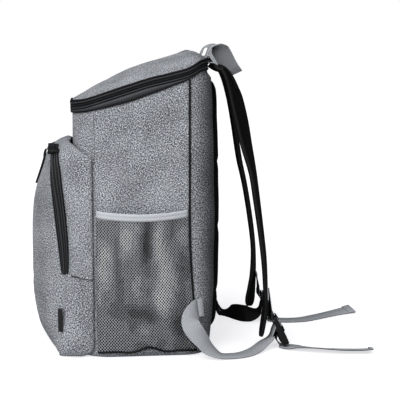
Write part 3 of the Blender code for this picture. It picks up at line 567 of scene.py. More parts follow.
class Nodes:
    """One material's node tree, with short ways to add and link."""

    def __init__(self, name: str, roughness: float) -> None:
        """Start a material.

        Args:
            name: The material's name.
            roughness: The shader's roughness.
        """
        self.material = bpy.data.materials.new(name)
        self.material.use_nodes = True
        self.tree = self.material.node_tree
        self.shader = self.tree.nodes["Principled BSDF"]
        self.shader.inputs["Roughness"].default_value = roughness

    def add(
        self, kind: str, inputs: dict[str | int, object] | None = None, **settings: object
    ) -> bpy.types.Node:
        """Add a node.

        Args:
            kind: The node's type, without its ShaderNode prefix.
            inputs: Socket values, or sockets to link from.
            settings: The node's own settings.

        Returns:
            The node.
        """
        node = self.tree.nodes.new("ShaderNode" + kind)
        for key, value in settings.items():
            setattr(node, key, value)
        for key, value in (inputs or {}).items():
            if isinstance(value, bpy.types.NodeSocket):
                self.tree.links.new(value, node.inputs[key])
            else:
                node.inputs[key].default_value = value
        return node

    def mapped(self, vector: Socket, scale: Triple) -> Socket:
        """A vector stretched along its axes."""
        return self.add("Mapping", {"Vector": vector, "Scale": scale}).outputs["Vector"]

    def noise(self, vector: Socket, scale: Triple, detail: float = 2.0, roughness: float = 0.5) -> Socket:
        """Noise over a mapped vector, told in bumps to the metre along each axis."""
        inputs = {"Vector": self.mapped(vector, scale), "Detail": detail, "Roughness": roughness}
        return self.add("TexNoise", {**inputs, "Scale": 1.0}).outputs["Fac"]

    def bands(self, vector: Socket, scale: float, distortion: float, detail: float) -> Socket:
        """Slanting bands over a mapped vector."""
        inputs = {"Vector": vector, "Scale": scale, "Distortion": distortion, "Detail": detail}
        return self.add("TexWave", inputs, wave_type="BANDS", bands_direction="DIAGONAL").outputs["Fac"]

    def maths(self, operation: str, first: object, second: object = 0.0) -> Socket:
        """One maths node's result."""
        return self.add("Math", {0: first, 1: second}, operation=operation).outputs[0]

    def mix(self, *parts: tuple[Socket, float]) -> Socket:
        """Add sockets up, each times its share.

        Args:
            parts: Sockets and their shares.

        Returns:
            The sum's socket.
        """
        made = [self.maths("MULTIPLY", socket, share) for socket, share in parts]
        total = made[0]
        for one in made[1:]:
            total = self.maths("ADD", total, one)
        return total

    def ramp(self, value: Socket, stops: Sequence[tuple[float, Colour]]) -> Socket:
        """A colour ramp's result.

        Args:
            value: What drives the ramp.
            stops: Places and colours.

        Returns:
            The colour socket.
        """
        node = self.add("ValToRGB", {"Fac": value})
        band = node.color_ramp
        while len(band.elements) < len(stops):
            band.elements.new(0.5)
        for element, (place, colour) in zip(band.elements, stops):
            element.position = place
            element.color = (*colour, 1.0)
        return node.outputs["Color"]

    def surface(self) -> Socket:
        """The piece's own map, in metres."""
        return self.add("UVMap", uv_map=UV_NAME).outputs["UV"]

    def object_place(self) -> Socket:
        """Object coordinates."""
        return self.add("TexCoord").outputs["Object"]

    def colour(self, socket: Socket) -> None:
        """Link the base colour."""
        self.tree.links.new(socket, self.shader.inputs["Base Color"])

    def bump(self, height: Socket, distance: float, strength: float = 1.0) -> None:
        """Link a bump to the shader."""
        node = self.add("Bump", {"Height": height, "Distance": distance, "Strength": strength})
        self.tree.links.new(node.outputs["Normal"], self.shader.inputs["Normal"])

    def gloss(self, level: float) -> None:
        """Set how much the surface mirrors, on the shader's own socket."""
        self.shader.inputs["Specular IOR Level"].default_value = level

    def sheen(self, weight: float, roughness: float) -> None:
        """Set the shader's sheen on its own sockets."""
        self.shader.inputs["Sheen Weight"].default_value = weight
        self.shader.inputs["Sheen Roughness"].default_value = roughness
        self.shader.inputs["Sheen Tint"].default_value = (1.0, 1.0, 1.0, 1.0)


def toned(colour: Colour, times: float) -> Colour:
    """A colour made darker or paler, and never past white."""
    return tuple(min(1.0, part * times) for part in colour)


@dataclass(frozen=True)
class HeatherCloth:
    """Two-tone woven polyester: dark and pale threads both ways, with slubs, and painted shade towards the
    back.
    """

    name: str = "heather_cloth"
    dark: Colour = (0.030, 0.032, 0.037)
    middle: Colour = (0.262, 0.274, 0.300)
    pale: Colour = (0.80, 0.83, 0.88)
    thread: float = 0.0010
    slub: float = 0.0022
    cloud: float = 22.0
    cloud_share: float = 0.07
    thread_share: float = 0.36
    speck_share: float = 0.28
    relief: float = 0.0006
    # Painted shade: from the first Y to the second the colour is scaled down to the last share, for the back
    # corners turning from the light.
    painted_back_shade: Triple = (0.064, 0.102, 0.33)

    def build(self) -> Finish:
        """Make the material."""
        n = Nodes(self.name, 0.88)
        surface = n.surface()
        fine = 1 / self.thread
        long = 1 / self.slub
        weft = n.noise(surface, (long, fine, 1.0), 2.0, 0.6)
        warp = n.noise(surface, (fine, long, 1.0), 2.0, 0.6)
        speck = n.noise(surface, (fine * 0.75, fine * 0.75, 1.0), 2.0, 0.5)
        mixed = n.mix((weft, self.thread_share), (warp, self.thread_share), (speck, self.speck_share))
        cloud = n.noise(surface, (self.cloud, self.cloud, 1.0), 2.0, 0.5)
        drift = n.maths("MULTIPLY", n.maths("SUBTRACT", cloud, 0.5), self.cloud_share)
        shifted = n.maths("ADD", mixed, drift)
        # Painted shade: the woven colour grows darker towards the back.
        near, far, least = self.painted_back_shade
        depth = n.add("SeparateXYZ", {"Vector": n.object_place()}).outputs["Y"]
        settings = {"Value": depth, "From Min": near, "From Max": far, "To Min": 1.0, "To Max": least}
        shade = n.add("MapRange", settings, interpolation_type="SMOOTHSTEP").outputs["Result"]
        woven = n.ramp(shifted, ((0.42, self.dark), (0.50, self.middle), (0.58, self.pale)))
        scaled = n.add("VectorMath", {0: woven, "Scale": shade}, operation="SCALE")
        n.colour(scaled.outputs["Vector"])
        n.bump(mixed, self.relief, 0.45)
        n.gloss(0.15)
        n.sheen(0.06, 0.45)
        return n.material


@dataclass(frozen=True)
class ZipTape:
    """Black woven tape with fine lengthwise ribs."""

    name: str = "zip_tape"
    colour: Colour = (0.0035, 0.0036, 0.0042)
    rib: float = 0.0011
    grain: float = 900.0
    relief: float = 0.0004
    roughness: float = 0.50

    def build(self) -> Finish:
        """Make the material."""
        n = Nodes(self.name, self.roughness)
        surface = n.surface()
        ribs = n.bands(n.mapped(surface, (1 / self.rib, 1 / self.rib, 1.0)), 0.32, 0.4, 0.0)
        grain = n.noise(surface, (self.grain, self.grain, 1.0))
        mixed = n.mix((ribs, 0.5), (grain, 0.5))
        n.colour(n.ramp(mixed, ((0.3, self.colour), (0.85, toned(self.colour, 3.4)))))
        n.bump(ribs, self.relief, 0.5)
        n.gloss(0.35)
        return n.material


@dataclass(frozen=True)
class Webbing:
    """Ribbed polyester webbing."""

    name: str
    colour: Colour
    rib: float = 0.0016
    yarn: tuple[float, float] = (1400.0, 420.0)
    relief: float = 0.0005
    contrast: float = 0.45

    def build(self) -> Finish:
        """Make the material."""
        n = Nodes(self.name, 0.72)
        surface = n.surface()
        weave = n.bands(n.mapped(surface, (1 / self.rib, 1 / (self.rib * 2.2), 1.0)), 0.5, 0.6, 1.0)
        both = n.mix((weave, 0.55), (n.noise(surface, (*self.yarn, 1.0)), 0.45))
        dark = toned(self.colour, 1 - self.contrast)
        pale = toned(self.colour, 1 + self.contrast)
        n.colour(n.ramp(both, ((0.2, dark), (0.8, pale))))
        n.bump(both, self.relief, 0.6)
        n.gloss(0.2)
        return n.material


@dataclass(frozen=True)
class AirMesh:
    """Black spacer fabric with rows of small holes."""

    name: str = "air_mesh"
    colour: Colour = (0.0060, 0.0062, 0.0068)
    hole: float = 0.0032
    fuzz: float = 1500.0
    relief: float = 0.0009

    def build(self) -> Finish:
        """Make the material."""
        n = Nodes(self.name, 0.85)
        surface = n.surface()
        holes = n.mapped(surface, (1 / self.hole, 1 / self.hole, 1.0))
        cells = n.add("TexVoronoi", {"Vector": holes, "Scale": 1.0, "Randomness": 0.12}, feature="F1")
        fuzz = n.noise(surface, (self.fuzz, self.fuzz, 1.0))
        pit = n.maths("SMOOTH_MIN", cells.outputs["Distance"], 0.42)
        height = n.maths("ADD", pit, n.maths("MULTIPLY", fuzz, 0.2))
        # Painted shade in the holes and painted light on the raised rims, following the bump's height.
        deep = toned(self.colour, 0.25)
        n.colour(n.ramp(height, ((0.16, deep), (0.34, self.colour), (0.62, toned(self.colour, 2.1)))))
        n.bump(height, self.relief, 0.7)
        n.gloss(0.12)
        return n.material


@dataclass(frozen=True)
class Thread:
    """Knitted or sewing thread."""

    name: str
    colour: Colour
    grain: float = 700.0
    relief: float = 0.0002

    def build(self) -> Finish:
        """Make the material."""
        n = Nodes(self.name, 0.7)
        grain = n.noise(n.object_place(), (self.grain,) * 3)
        n.colour(n.ramp(grain, ((0.3, toned(self.colour, 0.75)), (0.7, toned(self.colour, 1.2)))))
        n.bump(grain, self.relief, 0.4)
        n.gloss(0.2)
        return n.material


@dataclass(frozen=True)
class MouldedPlastic:
    """Satin black acetal, with the fine grain of its mould."""

    name: str = "moulded_plastic"
    colour: Colour = (0.008, 0.0082, 0.009)
    grain: float = 1600.0
    wear: float = 90.0
    relief: float = 0.0001

    def build(self) -> Finish:
        """Make the material."""
        n = Nodes(self.name, 0.36)
        place = n.object_place()
        grain = n.noise(place, (self.grain,) * 3)
        wear = n.noise(place, (self.wear,) * 3, 3.0)
        n.colour(n.ramp(wear, ((0.35, self.colour), (0.75, toned(self.colour, 1.8)))))
        n.bump(grain, self.relief, 0.5)
        n.gloss(0.4)
        return n.material


@dataclass(frozen=True)
class FoilLining:
    """Pale wipe-clean lining."""

    name: str = "foil_lining"
    colour: Colour = (0.55, 0.56, 0.58)
    crease: float = 160.0
    relief: float = 0.0008

    def build(self) -> Finish:
        """Make the material."""
        n = Nodes(self.name, 0.38)
        crinkle = n.noise(n.object_place(), (self.crease,) * 3, 3.0)
        n.colour(n.ramp(crinkle, ((0.3, toned(self.colour, 0.85)), (0.7, self.colour))))
        n.bump(crinkle, self.relief, 0.5)
        return n.material


@dataclass(frozen=True)
class Satin:
    """Black satin ribbon, left blank."""

    name: str = "label_satin"
    colour: Colour = (0.012, 0.012, 0.014)
    threads: tuple[float, float] = (2600.0, 300.0)
    relief: float = 0.0001

    def build(self) -> Finish:
        """Make the material."""
        n = Nodes(self.name, 0.42)
        threads = n.noise(n.surface(), (*self.threads, 1.0), 1.0)
        n.colour(n.ramp(threads, ((0.3, self.colour), (0.7, toned(self.colour, 2.0)))))
        n.bump(threads, self.relief, 0.4)
        return n.material


@dataclass
class Wardrobe:
    """Every finish of the bag, made once."""

    cloth: Finish = field(default_factory=HeatherCloth().build)
    # Painted shade: a near-black copy of the heather cloth, for cloth that lies in shadow.
    shaded_cloth: Finish = field(
        default_factory=HeatherCloth(
            "cloth_in_painted_shade", (0.008, 0.0083, 0.009), (0.018, 0.019, 0.021), (0.05, 0.052, 0.056)
        ).build
    )
    tape: Finish = field(default_factory=ZipTape().build)
    # Painted highlight: a paler, glossier copy of the black tape, for the ridges that catch the light.
    ridge_highlight: Finish = field(
        default_factory=ZipTape("zip_ridge_highlight", (0.030, 0.032, 0.036), roughness=0.34).build
    )
    # Painted highlight: the coil is paler than the black tape, for the light along its ridge.
    highlit_coil: Finish = field(default_factory=Thread("zip_coil_highlight", (0.075, 0.079, 0.088)).build)
    grey_web: Finish = field(default_factory=Webbing("grey_webbing", (0.44, 0.46, 0.49)).build)
    binding: Finish = field(
        default_factory=Webbing("net_binding_tape", (0.58, 0.605, 0.64), contrast=0.3).build
    )
    black_web: Finish = field(
        default_factory=Webbing("black_webbing", (0.010, 0.0103, 0.0112), contrast=0.6).build
    )
    air_mesh: Finish = field(default_factory=AirMesh().build)
    # Painted light and shade: paler and darker copies of one net thread, for folds that face the light and
    # hollows in shade.
    lit_and_shaded_nets: list[Finish] = field(
        default_factory=lambda: [
            Thread(f"net_thread_{level}", (lit_tone, lit_tone * 1.03, lit_tone * 1.08)).build()
            for level, lit_tone in enumerate(NetPocket.painted_light_tones)
        ]
    )
    grey_thread: Finish = field(default_factory=Thread("grey_thread", (0.42, 0.43, 0.45)).build)
    black_thread: Finish = field(default_factory=Thread("black_thread", (0.02, 0.02, 0.022)).build)
    plastic: Finish = field(default_factory=MouldedPlastic().build)
    lining: Finish = field(default_factory=FoilLining().build)
    satin: Finish = field(default_factory=Satin().build)


# The bag's form


@dataclass(frozen=True)
class BagForm:
    """Sizes of the main body, and where its surfaces are."""

    width: float = 0.280
    front: float = 0.0885
    back: float = 0.092
    front_corner: float = 0.048
    back_corner: float = 0.036
    rim_front: float = 0.337
    rim_back: float = 0.3925
    lower_tape: float = 0.016
    upper_tape: float = 0.0065
    crown: float = 0.018
    front_seam: float = -0.062
    back_seam: float = 0.0655
    back_seam_foot: float = 0.013
    sections: Table = Table(
        (
            (0.000, 1.020, 1.000, 1.020),
            (0.018, 1.030, 1.000, 1.030),
            (0.040, 1.026, 1.000, 1.040),
            (0.100, 1.018, 1.000, 1.068),
            (0.160, 1.012, 1.000, 1.086),
            (0.270, 1.006, 1.000, 1.105),
            (0.450, 1.000, 1.000, 1.113),
            (0.667, 1.000, 1.000, 1.103),
            (0.806, 1.000, 1.000, 1.086),
            (0.916, 1.000, 1.000, 1.070),
            (0.955, 1.000, 1.000, 1.056),
            (0.975, 1.000, 1.000, 1.000),
            (1.000, 1.000, 1.000, 1.000),
        )
    )
    zip_line: Table = Table(
        (
            (0.000, 0.000, 0.62),
            (0.090, 0.050, 0.67),
            (0.155, 0.115, 0.74),
            (0.200, 0.166, 0.80),
            (0.290, 0.265, 0.90),
            (0.425, 0.407, 1.00),
            (0.560, 0.545, 0.94),
            (0.700, 0.652, 0.74),
            (0.780, 0.717, 0.62),
            (0.835, 0.768, 0.55),
            (0.890, 0.850, 0.48),
            (0.930, 0.935, 0.48),
            (1.000, 1.000, 0.55),
        )
    )
    ridge: Table = Table(
        (
            (0.00, 0.00),
            (0.08, 0.30),
            (0.17, 0.54),
            (0.33, 0.74),
            (0.48, 0.88),
            (0.70, 0.96),
            (0.88, 1.00),
            (0.96, 0.55),
            (1.00, 0.08),
        )
    )

    def depth(self, y: float) -> float:
        """How far back a place is, from 0 to 1."""
        return (y + self.front) / (self.front + self.back)

    def zip_z(self, y: float) -> float:
        """Height of the zip line."""
        return self.rim_front + (self.rim_back - self.rim_front) * self.zip_line.at(self.depth(y), 1)

    def tape_drop(self, y: float) -> float:
        """Height of the lower tape."""
        return self.lower_tape * self.zip_line.at(self.depth(y), 2)

    def size(self, share: float) -> Triple:
        """Measure the body at a height.

        Args:
            share: Share of the height.

        Returns:
            Half width, front and back there.
        """
        return (
            self.width / 2 * self.sections.at(share, 1),
            self.front * self.sections.at(share, 2),
            self.back * self.sections.at(share, 3),
        )

    def plan(self, share: float, inset: float = 0.0) -> list[tuple[float, float, Vector]]:
        """The outline in plan, anticlockwise, with outward directions.

        Args:
            share: Share of the height.
            inset: How far inside the outer face.

        Returns:
            X, Y and outward direction of each place.
        """
        half, front, back = self.size(share)
        fr = self.front_corner - inset
        br = self.back_corner - inset
        right = half - inset
        near = -front + inset
        far = back - inset
        made: list[tuple[float, float, Vector]] = []

        def line(start: tuple[float, float], end: tuple[float, float], steps: int, way: Vector) -> None:
            """Add the places of one straight side.

            Args:
                start: Where it starts.
                end: Where it ends.
                steps: How many places it has.
                way: Its outward direction.
            """
            for i in range(steps):
                t = i / steps
                x = start[0] + (end[0] - start[0]) * t
                made.append((x, start[1] + (end[1] - start[1]) * t, way))

        def bend(cx: float, cy: float, radius: float, start: float, steps: int) -> None:
            """Add the places of one rounded corner.

            Args:
                cx: X of the corner's centre.
                cy: Y of the corner's centre.
                radius: The corner's radius.
                start: The angle where it starts, in degrees.
                steps: How many places it has.
            """
            for i in range(steps):
                a = math.radians(start + 90 * i / steps)
                way = Vector((math.cos(a), math.sin(a), 0))
                made.append((cx + radius * way.x, cy + radius * way.y, way))

        line((-right + fr, near), (right - fr, near), 14, Vector((0, -1, 0)))
        bend(right - fr, near + fr, fr, -90, 14)
        line((right, near + fr), (right, far - br), 22, Vector((1, 0, 0)))
        bend(right - br, far - br, br, 0, 12)
        line((right - br, far), (-right + br, far), 18, Vector((0, 1, 0)))
        bend(-right + br, far - br, br, 90, 12)
        line((-right, far - br), (-right, near + fr), 22, Vector((-1, 0, 0)))
        bend(-right + fr, near + fr, fr, 180, 14)
        return made

    def side_x(self, y: float, z: float) -> float:
        """Find the side's outer face.

        Args:
            y: The place's Y.
            z: The place's height.

        Returns:
            The face's distance from the middle.
        """
        half, front, back = self.size(z / self.zip_z(y))
        over_front = max(0.0, self.front_corner - front - y)
        over_back = max(0.0, y - back + self.back_corner)
        if over_front > 0:
            return half - self.front_corner + math.sqrt(max(self.front_corner**2 - over_front**2, 1e-6))
        return half - self.back_corner + math.sqrt(max(self.back_corner**2 - over_back**2, 1e-6))

    def back_y(self, z: float) -> float:
        """Y of the back at a height."""
        return self.back * self.sections.at(z / self.rim_back, 3)

    def seam_y(self, z: float) -> float:
        """Y of the back side seam at a height."""
        drop = max(0.0, 1 - z / (self.rim_back / 2))
        return self.back_seam + self.back_seam_foot * drop * drop

    def lid_z(self, x: float, y: float) -> float:
        """Find the domed lid's face.

        Args:
            x: The place's X.
            y: The place's Y.

        Returns:
            The face's height.
        """
        edge = self.zip_z(y) + self.upper_tape
        across = min(1.0, abs(x) / self.side_x(y, self.zip_z(y)))
        return edge + self.crown * self.ridge.at(self.depth(y)) * (1 - across**3)

    def seam_place(self, side: int, y: float, z: float, lift: float = 0.0) -> tuple[Vector, Vector]:
        """Find a place on the side's surface.

        Args:
            side: 1 for the right side and -1 for the left.
            y: The place's Y.
            z: The place's height.
            lift: How far off the surface.

        Returns:
            The place, and the outward direction there.
        """
        x = self.side_x(y, z)
        beside = self.side_x(y + 0.002, z) - self.side_x(y - 0.002, z)
        way = Vector((1.0, -beside / 0.004, 0.0)).normalized()
        way.x *= side
        return Vector((side * x, y, z)) + way * lift, way


@dataclass
class MainBody:
    """The insulated body with its piping, side seams and padded back."""

    form: BagForm
    finishes: Wardrobe
    wall: float = 0.004
    edge_round: float = 0.006
    base_inset: float = 0.0285
    rows: int = 64
    piping: float = 0.0028
    seam_rows: int = 60
    front_seam_foot: float = 0.262
    pucker_height: float = 0.318
    sag_height: float = 0.27
    back_width: float = 0.192
    back_foot: float = 0.022
    back_top: float = 0.370
    back_corner: float = 0.028
    back_deep: float = 0.0085
    quilting: Triple = (0.110, 0.200, 0.290)

    def crease(self, place: Vector) -> float:
        """Work out how far the cloth swells or sinks.

        Args:
            place: A place on the body.

        Returns:
            The swell there in metres.
        """
        high = min(1.0, place.z / 0.05)
        soft = 0.0009 * swell_noise(place, 0.060, 2.0) + 0.0004 * swell_noise(place, 0.021, 5.0)
        pucker = swell_noise(Vector((place.x, place.y, place.z * 0.25)), 0.016, 9.0)
        upper = math.exp(-((place.z - self.pucker_height) / 0.03) ** 2) * 0.0010 * pucker
        dip = math.exp(-((place.z - self.sag_height) / 0.06) ** 2)
        sag = -0.0012 * math.exp(-(place.y / 0.04) ** 2) * dip
        return (soft + upper) * high + sag

    def build(self) -> None:
        """Make the body, its inside and its base."""
        rows: list[Row] = []
        for shrink in (0.6, 0.8):
            inner = self.form.plan(0.0, self.base_inset)
            rows.append([Vector((x * shrink, y * shrink, 0.0)) for x, y, _ in inner])
        for inset in (0.02, 0.0085):
            rows.append([Vector((x, y, 0.0)) for x, y, _ in self.form.plan(0.0, inset)])
        for k in range(1, 5):
            a = math.pi / 2 * k / 5
            inset = self.edge_round * (1 - math.sin(a))
            z = self.edge_round * (1 - math.cos(a))
            rows.append([Vector((x, y, z)) for x, y, _ in self.form.plan(0.01, inset)])
        for r in range(self.rows + 1):
            share = 0.018 + (1 - 0.018) * r / self.rows
            ring = []
            for x, y, way in self.form.plan(share):
                place = Vector((x, y, share * (self.form.zip_z(y) - GAP)))
                ring.append(place + way * self.crease(place))
            rows.append(ring)
        faces = [self.finishes.cloth, self.finishes.lining]
        body = skin("bag_body", rows, faces, closed=True, inside=MIDDLE)
        fill_hole(body, lambda at: at.z < 0.001)
        thicken(body, self.wall, lining=True)
        seat(body, Slot.CLOTH, "body_shell")

    def build_seams(self) -> None:
        """Make the piping of the back seams and the topstitched front seams."""
        form = self.form
        for side in Side:
            top = form.zip_z(form.back_seam) - form.tape_drop(form.back_seam) - 2 * GAP
            path, out = self.seam_line(side, form.seam_y, (0.012, top), self.seam_rows, 0.0016)
            size = self.piping
            stations = [(p, w.cross(UP), size, size) for p, w in zip(path, out)]
            frames = frames_along(stations, 1)
            piping = sweep("seam_piping_" + side.word, frames, round_section(10), [self.finishes.tape])
            seat(piping, Slot.TAPE, "side_piping_" + side.word)

            top = form.zip_z(form.front_seam) - form.tape_drop(form.front_seam) - 0.001
            heights = (self.front_seam_foot, top)
            path, out = self.seam_line(side, lambda z: form.front_seam, heights, 24, 0.0007)
            stations = [(p, w.cross(UP), 0.0045, 0.0011) for p, w in zip(path, out)]
            seat(ribbon("front_seam_" + side.word, stations, 1, self.finishes.cloth), Slot.CLOTH)
            raised = [p + w * 0.0007 for p, w in zip(path, out)]
            row = stitches("front_seam_stitches_" + side.word, raised, out, self.finishes.grey_thread)
            seat(row, Slot.CLOTH)

    def seam_line(
        self,
        side: Side,
        depth: Callable[[float], float],
        heights: tuple[float, float],
        count: int,
        lift: float,
    ) -> tuple[list[Vector], list[Vector]]:
        """Lay out a seam that runs up one side.

        Args:
            side: Which side.
            depth: The seam's Y at a height.
            heights: Where it starts and ends.
            count: How many places it has.
            lift: How far off the surface.

        Returns:
            The places, and the outward directions.
        """
        path = []
        out = []
        foot, top = heights
        for k in range(count):
            z = foot + (top - foot) * k / (count - 1)
            place, way = self.form.seam_place(side.value, depth(z), z, lift)
            path.append(place)
            out.append(way)
        return path, out

    def build_back(self) -> None:
        """Make the padded back with its quilted channels, thinning towards its edge."""
        foot, top, corner = self.back_foot, self.back_top, self.back_corner
        across_count, up_count = 56, 84
        rows: list[Row] = []
        for r in range(up_count + 1):
            v = r / up_count
            z = foot + (top - foot) * v
            ends = min(z - foot, top - z)
            narrow = corner - math.sqrt(max(corner**2 - (corner - ends) ** 2, 0.0)) if ends < corner else 0.0
            half = self.back_width / 2 - narrow
            row = []
            for c in range(across_count + 1):
                x = half * (2 * c / across_count - 1)
                rim = min(half - abs(x), ends + 0.0005)
                lift = self.back_deep * min(1.0, max(0.0, rim) / 0.014) ** 0.45
                lift -= 0.0042 * math.exp(-((x / 0.013) ** 2)) * min(1.0, ends / 0.02)
                for height in self.quilting:
                    curve = height + 0.028 - 0.75 * abs(x)
                    clear = min(1.0, max(0.0, abs(x) - 0.010) / 0.012)
                    lift -= 0.0030 * math.exp(-(((z - curve) / 0.0045) ** 2)) * clear
                lift += 0.0005 * swell_noise(Vector((x, 0, z)), 0.03, 3.0) * min(1.0, rim / 0.02)
                row.append(Vector((x, self.form.back_y(z) + 0.0007 + max(0.0006, lift), z)))
            rows.append(row)
        pad = skin("padded_back", rows, [self.finishes.air_mesh], inside=MIDDLE)
        thicken(pad, 0.0005)
        seat(pad, Slot.PADDING, "back_panel")

    def make(self) -> None:
        """Build and dress everything on the main body."""
        self.build()
        self.build_seams()
        self.build_back()


@dataclass
class Lid:
    """The domed lid, its two tapes and the coil between them."""

    form: BagForm
    finishes: Wardrobe
    wall: float = 0.004
    tape: float = 0.002
    scales: tuple[float, ...] = (
        *(1.0, 0.992, 0.982, 0.965, 0.94, 0.91, 0.87, 0.82, 0.76),
        *(0.69, 0.61, 0.52, 0.42, 0.31, 0.20, 0.09, 0.02),
    )

    def rim(self) -> tuple[list[Vector], list[Vector]]:
        """Lay out the zip line.

        Returns:
            The places round the rim, and the outward directions.
        """
        plan = self.form.plan(1.0)
        places = [Vector((x, y, self.form.zip_z(y))) for x, y, _ in plan]
        return places, [way for _, _, way in plan]

    def build_dome(self) -> None:
        """Make the lid's cloth."""
        form = self.form
        rows: list[Row] = []
        outline = form.plan(1.0)
        for height in (0.0006, 0.003):
            rows.append([Vector((x, y, form.zip_z(y) + height)) for x, y, _ in outline])
        for scale in self.scales:
            ring = []
            for x, y, _ in outline:
                sx, sy = x * scale, y * scale
                z = form.lid_z(sx, sy)
                if scale < 0.99:
                    place = Vector((sx, sy, z))
                    calm = min(1.0, (1 - scale) / 0.12)
                    broad = 0.0010 * calm * swell_noise(place, 0.055, 4.0)
                    z += broad + 0.0004 * calm * swell_noise(place, 0.020, 1.0)
                ring.append(Vector((sx, sy, z)))
            rows.append(ring)
        faces = [self.finishes.cloth, self.finishes.lining]
        dome = skin("lid_cloth", rows, faces, closed=True, inside=MIDDLE)
        peak = max(vertex.co.z for vertex in dome.data.vertices)
        fill_hole(dome, lambda at: at.xy.length < 0.02 and at.z > peak - 0.05)
        thicken(dome, self.wall, lining=True)
        seat(dome, Slot.CLOTH, "lid_panel")

    def paint_highlight(self, band: Piece, count: int, strips: Sequence[int]) -> None:
        """Give some lengthwise strips of a band the glossier finish, whose paler colour is a painted
        highlight.

        Args:
            band: The band.
            count: How many strips it has.
            strips: The strips that take the painted highlight.
        """
        band.data.materials.append(self.finishes.ridge_highlight)
        for polygon in band.data.polygons:
            if polygon.index % count in strips:
                polygon.material_index = 1

    def build_tapes(self) -> None:
        """Make the zip tapes, with their ridges, and the coil between them."""
        form = self.form
        t = self.tape
        base = GAP * 1.5
        path, out = self.rim()
        high = form.upper_tape
        profile = [
            (base, 0.0003),
            (base + t * 0.8, 0.0003),
            (base + t * 0.9, 0.0010),
            (base + t * 0.35, 0.0015),
            (base + t * 0.45, 0.0021),
            (base + t * 1.05, 0.0025),
            (base + t * 1.35, 0.0034),
            (base + t * 1.30, 0.0043),
            (base + t * 0.85, 0.0049),
            (base + t * 0.45, 0.0052),
            (base + t * 0.75, 0.0056),
            (base + t * 0.95, 0.0063),
            (base + t * 0.70, 0.0071),
            (base - 0.0010, high + 0.0010),
            (base - 0.0012, high - 0.0010),
            (base, high - 0.0016),
        ]
        rings = [[place + way * o + UP * u for o, u in profile] for place, way in zip(path, out)]
        upper = band_loop("lid_tape_top", rings, self.finishes.tape)
        # Painted highlight on two ridge strips of the upper tape.
        self.paint_highlight(upper, len(profile), (5, 6))
        seat(upper, Slot.TAPE, "lid_tape_upper")
        rings = []
        for place, way in zip(path, out):
            drop = form.tape_drop(place.y)
            shares = (
                (0.0, -0.0003),
                (t * 0.8, -0.0003),
                (t * 0.9, -0.0010),
                (t * 0.30, -0.0016),
                (t * 0.40, -0.0023),
                (t * 1.00, -0.0027),
                (t * 1.20, -0.0035),
                (t * 1.05, -0.0043),
                (t * 0.35, -0.0048),
                (t * 0.35, -0.0053),
                (t * 0.95, -0.0058),
                (t * 1.00, -drop * 0.80),
                (t * 0.60, -drop * 0.84),
                (t * 0.60, -drop * 0.88),
                (t * 0.95, -drop * 0.92),
                (t * 0.6, -drop * 0.98),
                (0.0, -drop),
            )
            rings.append([place + way * (base + o) + UP * u for o, u in shares])
        lower = band_loop("lid_tape_foot", rings, self.finishes.tape)
        # Painted highlight on three ridge strips of the lower tape.
        self.paint_highlight(lower, len(shares), (5, 6, 10))
        seat(lower, Slot.TAPE, "lid_tape_lower")
        line = [p + w * (base + t * 1.02) for p, w in zip(path, out)]
        highlit_coil = stitches("lid_zip_coil", [*line, line[0]], [*out, out[0]], self.finishes.highlit_coil, COIL_PITCH)
        seat(highlit_coil, Slot.TAPE)

    def build_stitching(self) -> None:
        """Make the topstitching along the lid's edge."""
        path = []
        for x, y, _ in self.form.plan(1.0):
            sx, sy = x * 0.975, y * 0.965
            path.append(Vector((sx, sy, self.form.lid_z(sx, sy) + 0.0003)))
        path.append(path[0])
        row = stitches("lid_edge_stitches", path, [UP] * len(path), self.finishes.grey_thread)
        seat(row, Slot.CLOTH)

    def make(self) -> None:
        """Build and dress everything on the lid."""
        self.build_dome()
        self.build_tapes()
        self.build_stitching()


